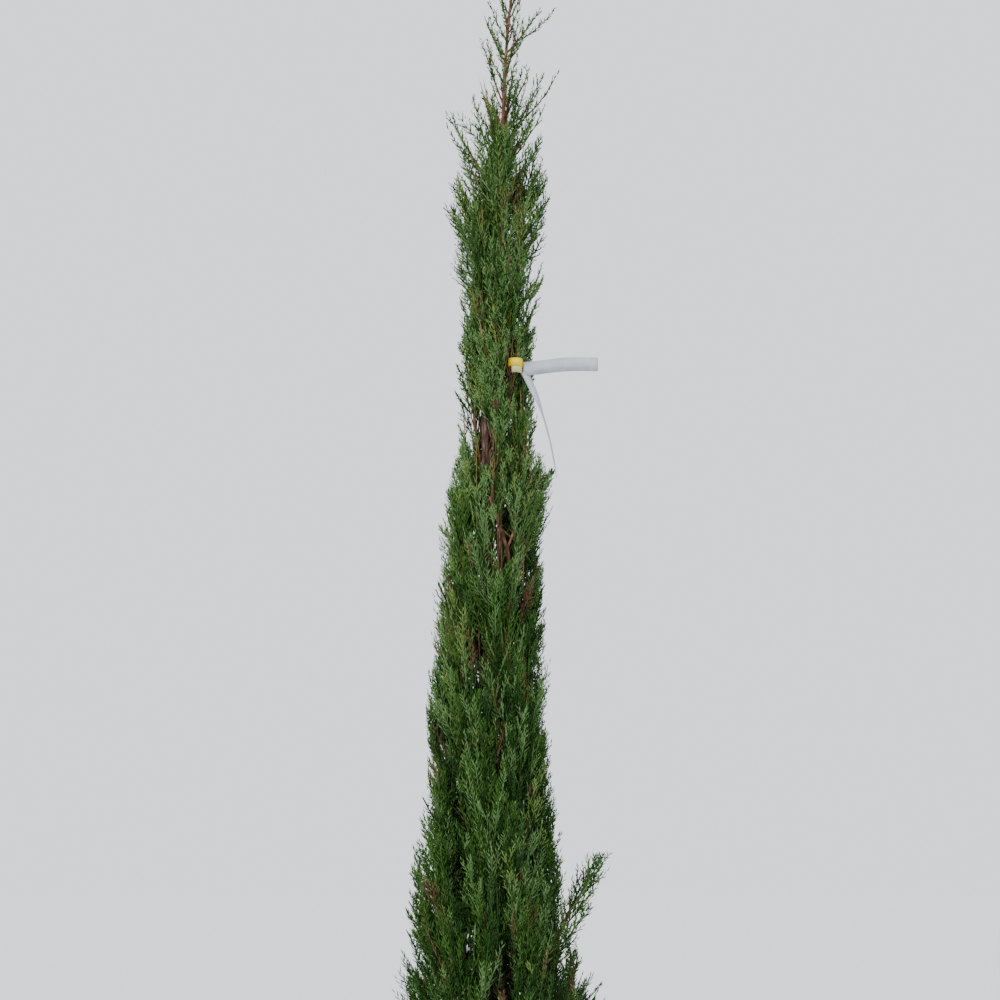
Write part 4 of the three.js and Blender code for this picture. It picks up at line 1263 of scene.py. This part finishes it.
# %% [markdown]
# Leaf material. Scale leaves are waxy and slightly rough, and each shows tiny lighter and darker scales. The
# noise is so fine that it only breaks up the colour of a branchlet. A little light passes through the
# outer sprays on the real plant; lighter tones stand in for it, which costs less to render.


# %% Foliage pieces
def leaf_material(name, dark, light, gloss=0.18):
    return finish_with_noise(name, [(0.32, dark), (0.68, light)], scale=420, stretch=(1, 1, 0.5),
                             roughness=0.6, bump=0, specular=gloss)


leaf_tones = {
    "mid_green": ((0.025, 0.07, 0.01), (0.06, 0.14, 0.02)),
    "deep_green": ((0.008, 0.028, 0.005), (0.022, 0.062, 0.01)),
    "fresh_green": ((0.062, 0.134, 0.036), (0.132, 0.242, 0.074)),
    "yellow_green": ((0.09, 0.156, 0.03), (0.168, 0.252, 0.06)),
    "blue_green": ((0.016, 0.05, 0.01), (0.038, 0.096, 0.02)),
    "dry_brown": ((0.06, 0.028, 0.012), (0.15, 0.08, 0.035)),
}
shade_gloss = {"mid_green": 0.1, "deep_green": 0.06, "blue_green": 0.1}
face_limit = 190000
mass_nodes = [plan.node for plan in plans]


def add_sprays(name, items, faces_each, build, material):
    """Split items into pieces that stay under the limit of faces, add each as a mesh, and count its faces."""
    parts = math.ceil(len(items[0]) * faces_each / face_limit)
    total = 0
    for part in range(parts):
        low, high = (len(items[0]) * n // parts for n in (part, part + 1))
        arrays = build(*[values[low:high] for values in items])
        add_piece(f"{name}_{part + 1}", arrays, material, mass_nodes)
        total += len(arrays[1])
    return total


def tapered(paths, first, last):
    steps = paths.shape[1]
    return tubes(paths, np.broadcast_to(np.linspace(first, last, steps), (len(paths), steps)))


green_total = 0
for colour, slot in spray_slots.items():
    material = leaf_material(colour, *leaf_tones[colour], shade_gloss.get(colour, 0.18))
    leaves = [np.concatenate(values) for values in zip(*leaf_rows[colour])]
    side_twigs, feather_twigs = ([np.concatenate(twig_rows[colour][steps])] for steps in (3, 5))
    for kind, items, faces_each, build in (
            ("branchlets", leaves, 6, spindles),
            ("side_twigs", side_twigs, 10, lambda paths: tapered(paths, 1.0, 0.55)),
            ("feather_twigs", feather_twigs, 22, lambda paths: tapered(paths, 0.9, 0.45))):
        green_total += add_sprays(f"{kind}_{colour}", items, faces_each, build, material)
print(green_total, "triangles of green sprays")


# %% [markdown]
# The axes of the plumes. Each is woody and red-brown below and green towards its tip, where scale leaves
# still cover it; high in the crown many are olive. One thin tube could change colour by a ramp along its
# length, but that would depend on where it lies, so each axis is two tubes, the green one grown from the
# end of the brown one.

# %% Shoot pieces
shoot_paths = np.concatenate([plan.shoots for plan in growths])
shoot_sizes = np.concatenate([np.full(len(plan.shoots), 0.85 if plan.free else 1.3) for plan in growths])
shoot_radii = shoot_sizes[:, None] * np.linspace(1, 0.35, shoot_steps)[None]
olive = (np.random.default_rng(8000).random(len(shoot_paths)) < 0.65) & (shoot_paths[:, -1, 2] > 1060)
olive_stem = leaf_material("olive_stem", (0.12, 0.1, 0.02), (0.26, 0.19, 0.05))
for name, arrays, material, slot in (
        ("woody_shoots", tubes(shoot_paths[:, :5], shoot_radii[:, :5]), twig_bark, "bough_bark"),
        ("green_shoot_ends", tubes(shoot_paths[~olive, 3:], shoot_radii[~olive, 3:] * 1.05),
         bpy.data.materials["mid_green"], "foliage_green_1"),
        ("olive_shoot_ends", tubes(shoot_paths[olive, 3:], shoot_radii[olive, 3:] * 1.2),
         olive_stem, "foliage_green_4")):
    add_piece(name, arrays, material, mass_nodes, smooth=True)
print(len(shoot_paths), "axes of plumes,", olive.sum(), "of them olive")


# %% [markdown]
# The pot. The photograph cuts it off, so it is finished as the plain black pot that such plants are sold in:
# thin moulded plastic, a rolled rim above a stacking ledge, faint rings where the mould steps, and holes in
# the bottom. A turned profile gives all but the holes, and those are cut by a Boolean.

# %% Pot
pot_height, rim_radius, foot_radius = 260, 138.5, 112
wall, pot_floor, rim_depth, rim_lip, foot_bevel = 2.4, 3, 20, 5, 4
pot_sides = 96


def pot_radius(height):
    return mix(foot_radius, rim_radius - rim_lip, height / pot_height)


def turned(name, profile, sides):
    """A closed body of revolution from (radius, height) rows that start and end on the axis."""
    build = bmesh.new()
    ends = [build.verts.new((0, 0, profile[0][1] * mm)), build.verts.new((0, 0, profile[-1][1] * mm))]
    rings = []
    for radius, height in profile[1:-1]:
        rings.append([build.verts.new((radius * mm * math.cos(2 * math.pi * i / sides),
                                       radius * mm * math.sin(2 * math.pi * i / sides), height * mm))
                      for i in range(sides)])
    for i in range(sides):
        after = (i + 1) % sides
        build.faces.new((ends[0], rings[0][after], rings[0][i]))
        build.faces.new((ends[1], rings[-1][i], rings[-1][after]))
        for a, b in zip(rings, rings[1:]):
            build.faces.new((a[i], a[after], b[after], b[i]))
    mesh = bpy.data.meshes.new(name)
    build.to_mesh(mesh)
    build.free()
    return mesh


ledge = pot_height - rim_depth
outer = [(0, 0.8), (foot_radius - 14, 0.8), (foot_radius - 11, 0), (foot_radius - foot_bevel, 0),
         (foot_radius - 1.2, 1.2), (foot_radius, foot_bevel)]
for step in range(1, 12):
    height = mix(foot_bevel, ledge, step / 12)
    outer += [(pot_radius(height) - 0.1, height - 1), (pot_radius(height) + 0.35, height),
              (pot_radius(height) - 0.1, height + 1)] if step % 4 == 0 else [(pot_radius(height), height)]
rim = [(pot_radius(ledge), ledge - 0.6), (pot_radius(ledge) + 0.5, ledge), (rim_radius - 2.2, ledge),
       (rim_radius - 1, ledge + 0.8), (rim_radius - 0.7, ledge + 3), (rim_radius - 0.9, pot_height - 6)]
roll = [(rim_radius - 1.9 + 1.9 * math.cos(a), pot_height - 3.4 + 3.4 * math.sin(a))
        for a in np.linspace(-0.6, math.pi, 10)]
inner = [(rim_radius - 1.5 * wall - 0.6, pot_height - 6), (rim_radius - rim_lip - wall, ledge + wall),
         (pot_radius(ledge) - wall, ledge - wall), (pot_radius(pot_floor) - wall, pot_floor), (0, pot_floor)]
pot_mesh = turned("nursery_pot", outer + rim + roll + inner, pot_sides)
plastic_stops = [(0.3, (0.008, 0.008, 0.009)), (0.6, (0.014, 0.014, 0.015)), (0.85, (0.035, 0.034, 0.032))]
pot_material = finish_with_noise("black_pot_plastic", plastic_stops, scale=14, stretch=(1, 1, 0.6),
                                 roughness=0.42, bump=0.12, bump_scale=900, specular=0.5)
pot_piece = add_mesh("nursery_pot", pot_mesh, pot_material, smooth=True)
drain_holes, hole_place = 4, 0.72
for i in range(drain_holes):
    turn = math.pi / 2 * (i + 0.5)
    away = hole_place * foot_radius * mm
    bpy.ops.mesh.primitive_cylinder_add(vertices=24, radius=8 * mm, depth=20 * mm,
                                        location=(away * math.cos(turn), away * math.sin(turn), 0))
    drill = bpy.context.object
    hole = pot_piece.modifiers.new("drain_hole", "BOOLEAN")
    hole.object, hole.operation, hole.solver = drill, "DIFFERENCE", "EXACT"
    bpy.context.view_layer.objects.active = pot_piece
    bpy.ops.object.modifier_apply(modifier=hole.name)
    bpy.data.objects.remove(drill)
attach(pot_piece, "root")
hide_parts("pot")
print("pot:", len(pot_piece.data.polygons), "faces")


# %% [markdown]
# The compost. It is dark, moist and crumbly, with chips of bark on top, and it falls a little towards the
# rim. One mesh has rolling bumps, and a thousand or so small tilted crumbs lie on it, joined to it. A flat
# disc with a bump in its finish would look like paint at the rim.

# %% Compost
compost_inside = pot_radius(soil_top) - wall - 0.9
rings_out = np.linspace(0, 1, 40)[1:] ** 0.8 * compost_inside
sides = 100
angle = np.arange(sides) * 2 * math.pi / sides


def compost_height(x, y):
    off = np.hypot(x, y)
    fall = np.interp(off, (0, 40, compost_inside - 14, compost_inside), (0, 0, -2, -8))
    bumps = 1.6 * soft_noise(x / 14 + 90, y / 14 + 90, 11) + 1.1 * soft_noise(x / 5 + 90, y / 5 + 90, 12)
    return soil_top - 3 + fall * 0.6 + bumps * np.clip((off - 12) / 20, 0.2, 1)


x, y = rings_out[:, None] * np.cos(angle), rings_out[:, None] * np.sin(angle)
top = points_of(x, y, compost_height(x, y)).reshape(-1, 3)
base_level = pot_floor + 0.5
base_ring = points_round(0, pot_radius(pot_floor) - 3.5, angle, base_level)
vertices = np.concatenate([top, base_ring, [(0, 0, soil_top - 3), (0, 0, base_level)]])
compost_arrays = (vertices, ring_faces(len(rings_out) + 1, sides, inside_out=True))
chance = np.random.default_rng(21)
crumbs = 1300
off = compost_inside * np.sqrt(chance.uniform(0.012, 0.97, crumbs))
turn = chance.uniform(0, any_turn, crumbs)
x, y = off * np.cos(turn), off * np.sin(turn)
size = chance.uniform(0.7, 2.4, crumbs) * np.where(chance.random(crumbs) < 0.06, 2.2, 1)
lean = unit(chance.normal(0, 1, (crumbs, 3)) * (1, 1, 0.4))
centre = points_of(x, y, compost_height(x, y) + 0.15 * size)
reach_in = np.minimum(size, compost_inside - off - 0.5)[:, None]
crumb_arrays = spindles(centre - lean * reach_in, centre + lean * reach_in, 0.7 * size,
                        chance.uniform(0, 2, crumbs))
compost_stops = [(0.3, (0.012, 0.008, 0.005)), (0.55, (0.04, 0.025, 0.016)), (0.8, (0.12, 0.08, 0.05))]
compost_material = finish_with_noise("dark_compost", compost_stops, scale=240, stretch=(1, 1, 1),
                                     roughness=0.95, bump=0.6)
compost_piece = add_piece("compost", joined_arrays([compost_arrays, crumb_arrays]), compost_material,
                          ["soil"])
print("compost:", len(compost_piece.data.polygons), "faces")


# %% [markdown]
# The label. A strip of plastic film is wrapped once round a shoot and stuck to itself: the yellow band is
# the wrap, paler along its lower edge; the white flag stands out to the right and bends up a little, and its
# long end hangs down and twists. All of it is plain. Each part is a flat ribbon with real thickness.


# %% Label
def ribbon(points, across, widths, thickness):
    """A closed flat strap along points, with its width along one direction and rounded by its widths."""
    along = unit(np.gradient(points, axis=0))
    face = unit(np.cross(along, across)) * thickness / 2
    edge = np.atleast_2d(across) * np.asarray(widths)[:, None] / 2
    vertices = np.stack([points - edge - face, points + edge - face,
                         points + edge + face, points - edge + face], 1).reshape(-1, 3)
    faces = []
    for step in range(len(points) - 1):
        for k in range(4):
            a, b = 4 * step + k, 4 * step + (k + 1) % 4
            faces.append((a, b, b + 4, a + 4))
    end = 4 * (len(points) - 1)
    faces += [(0, 3, 2, 1), (end, end + 1, end + 2, end + 3)]
    return vertices, np.array(faces)


def film_material(name, stops):
    return finish_with_noise(name, stops, scale=60, stretch=(1, 1, 1), roughness=0.55, bump=0.05,
                             bump_scale=500, specular=0.2)


def add_band(name, radius, first, last, count, above, width, material):
    """Part of the wrap: a ribbon round the shoot, between two angles and at a height above the middle."""
    turn = np.linspace(first, last, count)
    arrays = ribbon(loop_centre + points_round(0, radius, turn, above), (0, 0, 1), np.full(count, width), 0.5)
    add_piece(name, arrays, material, ["label_band"])


yellow = film_material("yellow_film", [(0.35, (0.74, 0.5, 0.0)), (0.65, (0.84, 0.6, 0.0))])
pale_yellow = film_material("pale_yellow_film", [(0.35, (0.5, 0.46, 0.2)), (0.65, (0.58, 0.53, 0.25))])
full_turn = 2 * math.pi
add_band("label_band_film", loop_radius, 0.12, full_turn - 0.12, 60, 4, 9.2, yellow)
add_band("label_band_pale_edge", loop_radius - 0.6, math.pi + 1, full_turn - 0.12, 30, -2.5, 12, pale_yellow)

flag_start = loop_centre + (loop_radius + label_thickness / 2 + clearance, 0, 0)
t = np.linspace(0, 1, 48)
flag_points = points_of(mix(flag_start[0], flag_end - 0.3, t), flag_start[1] + 3 * t * t,
                        label_height - 2.6 + 6.2 * np.sin(math.pi / 2 * np.minimum(1, 1.35 * t)) ** 1.5)
rounded = np.sqrt(np.clip(1 - np.clip((t - 0.98) / 0.02, 0, 1) ** 2, 0, 1))
flag_widths = label_width - 0.4 - 2 * (1 - rounded)
tail_top = flag_start + (1, 0, 2 - label_width / 2)
t = np.linspace(0, 1, 40)[:, None]
tail_bend = np.array([mix(tail_top[0], tail_end[0], 0.75), tail_top[1], mix(tail_top[2], tail_end[1], 0.4)])
tail_points = simple_curve(tail_top, tail_bend, np.array([tail_end[0], tail_top[1], tail_end[1]]), t)
twist = mix(0.25, 1.25, smooth_step(t[:, 0], 0.1, 0.5))
tail_widths = np.interp(t[:, 0], (0, 0.5, 0.85, 1), (9.6, 8, 6, 1))
flag = ribbon(flag_points, (0, 0, 1), flag_widths, 0.45)
tail = ribbon(tail_points, points_of(np.cos(twist), np.sin(twist), 0), tail_widths, 0.45)
# The white film is given a grey colour: painted shade over the flag and its hanging end.
film = film_material("white_film_painted_shade", [(0.35, (0.38, 0.4, 0.44)), (0.65, (0.46, 0.48, 0.52))])
add_piece("label_flag_film", joined_arrays([flag, tail]), film, ["label_flag"])
print("label flag ends at x =", round(float(flag_points[-1][0]), 1), "mm")
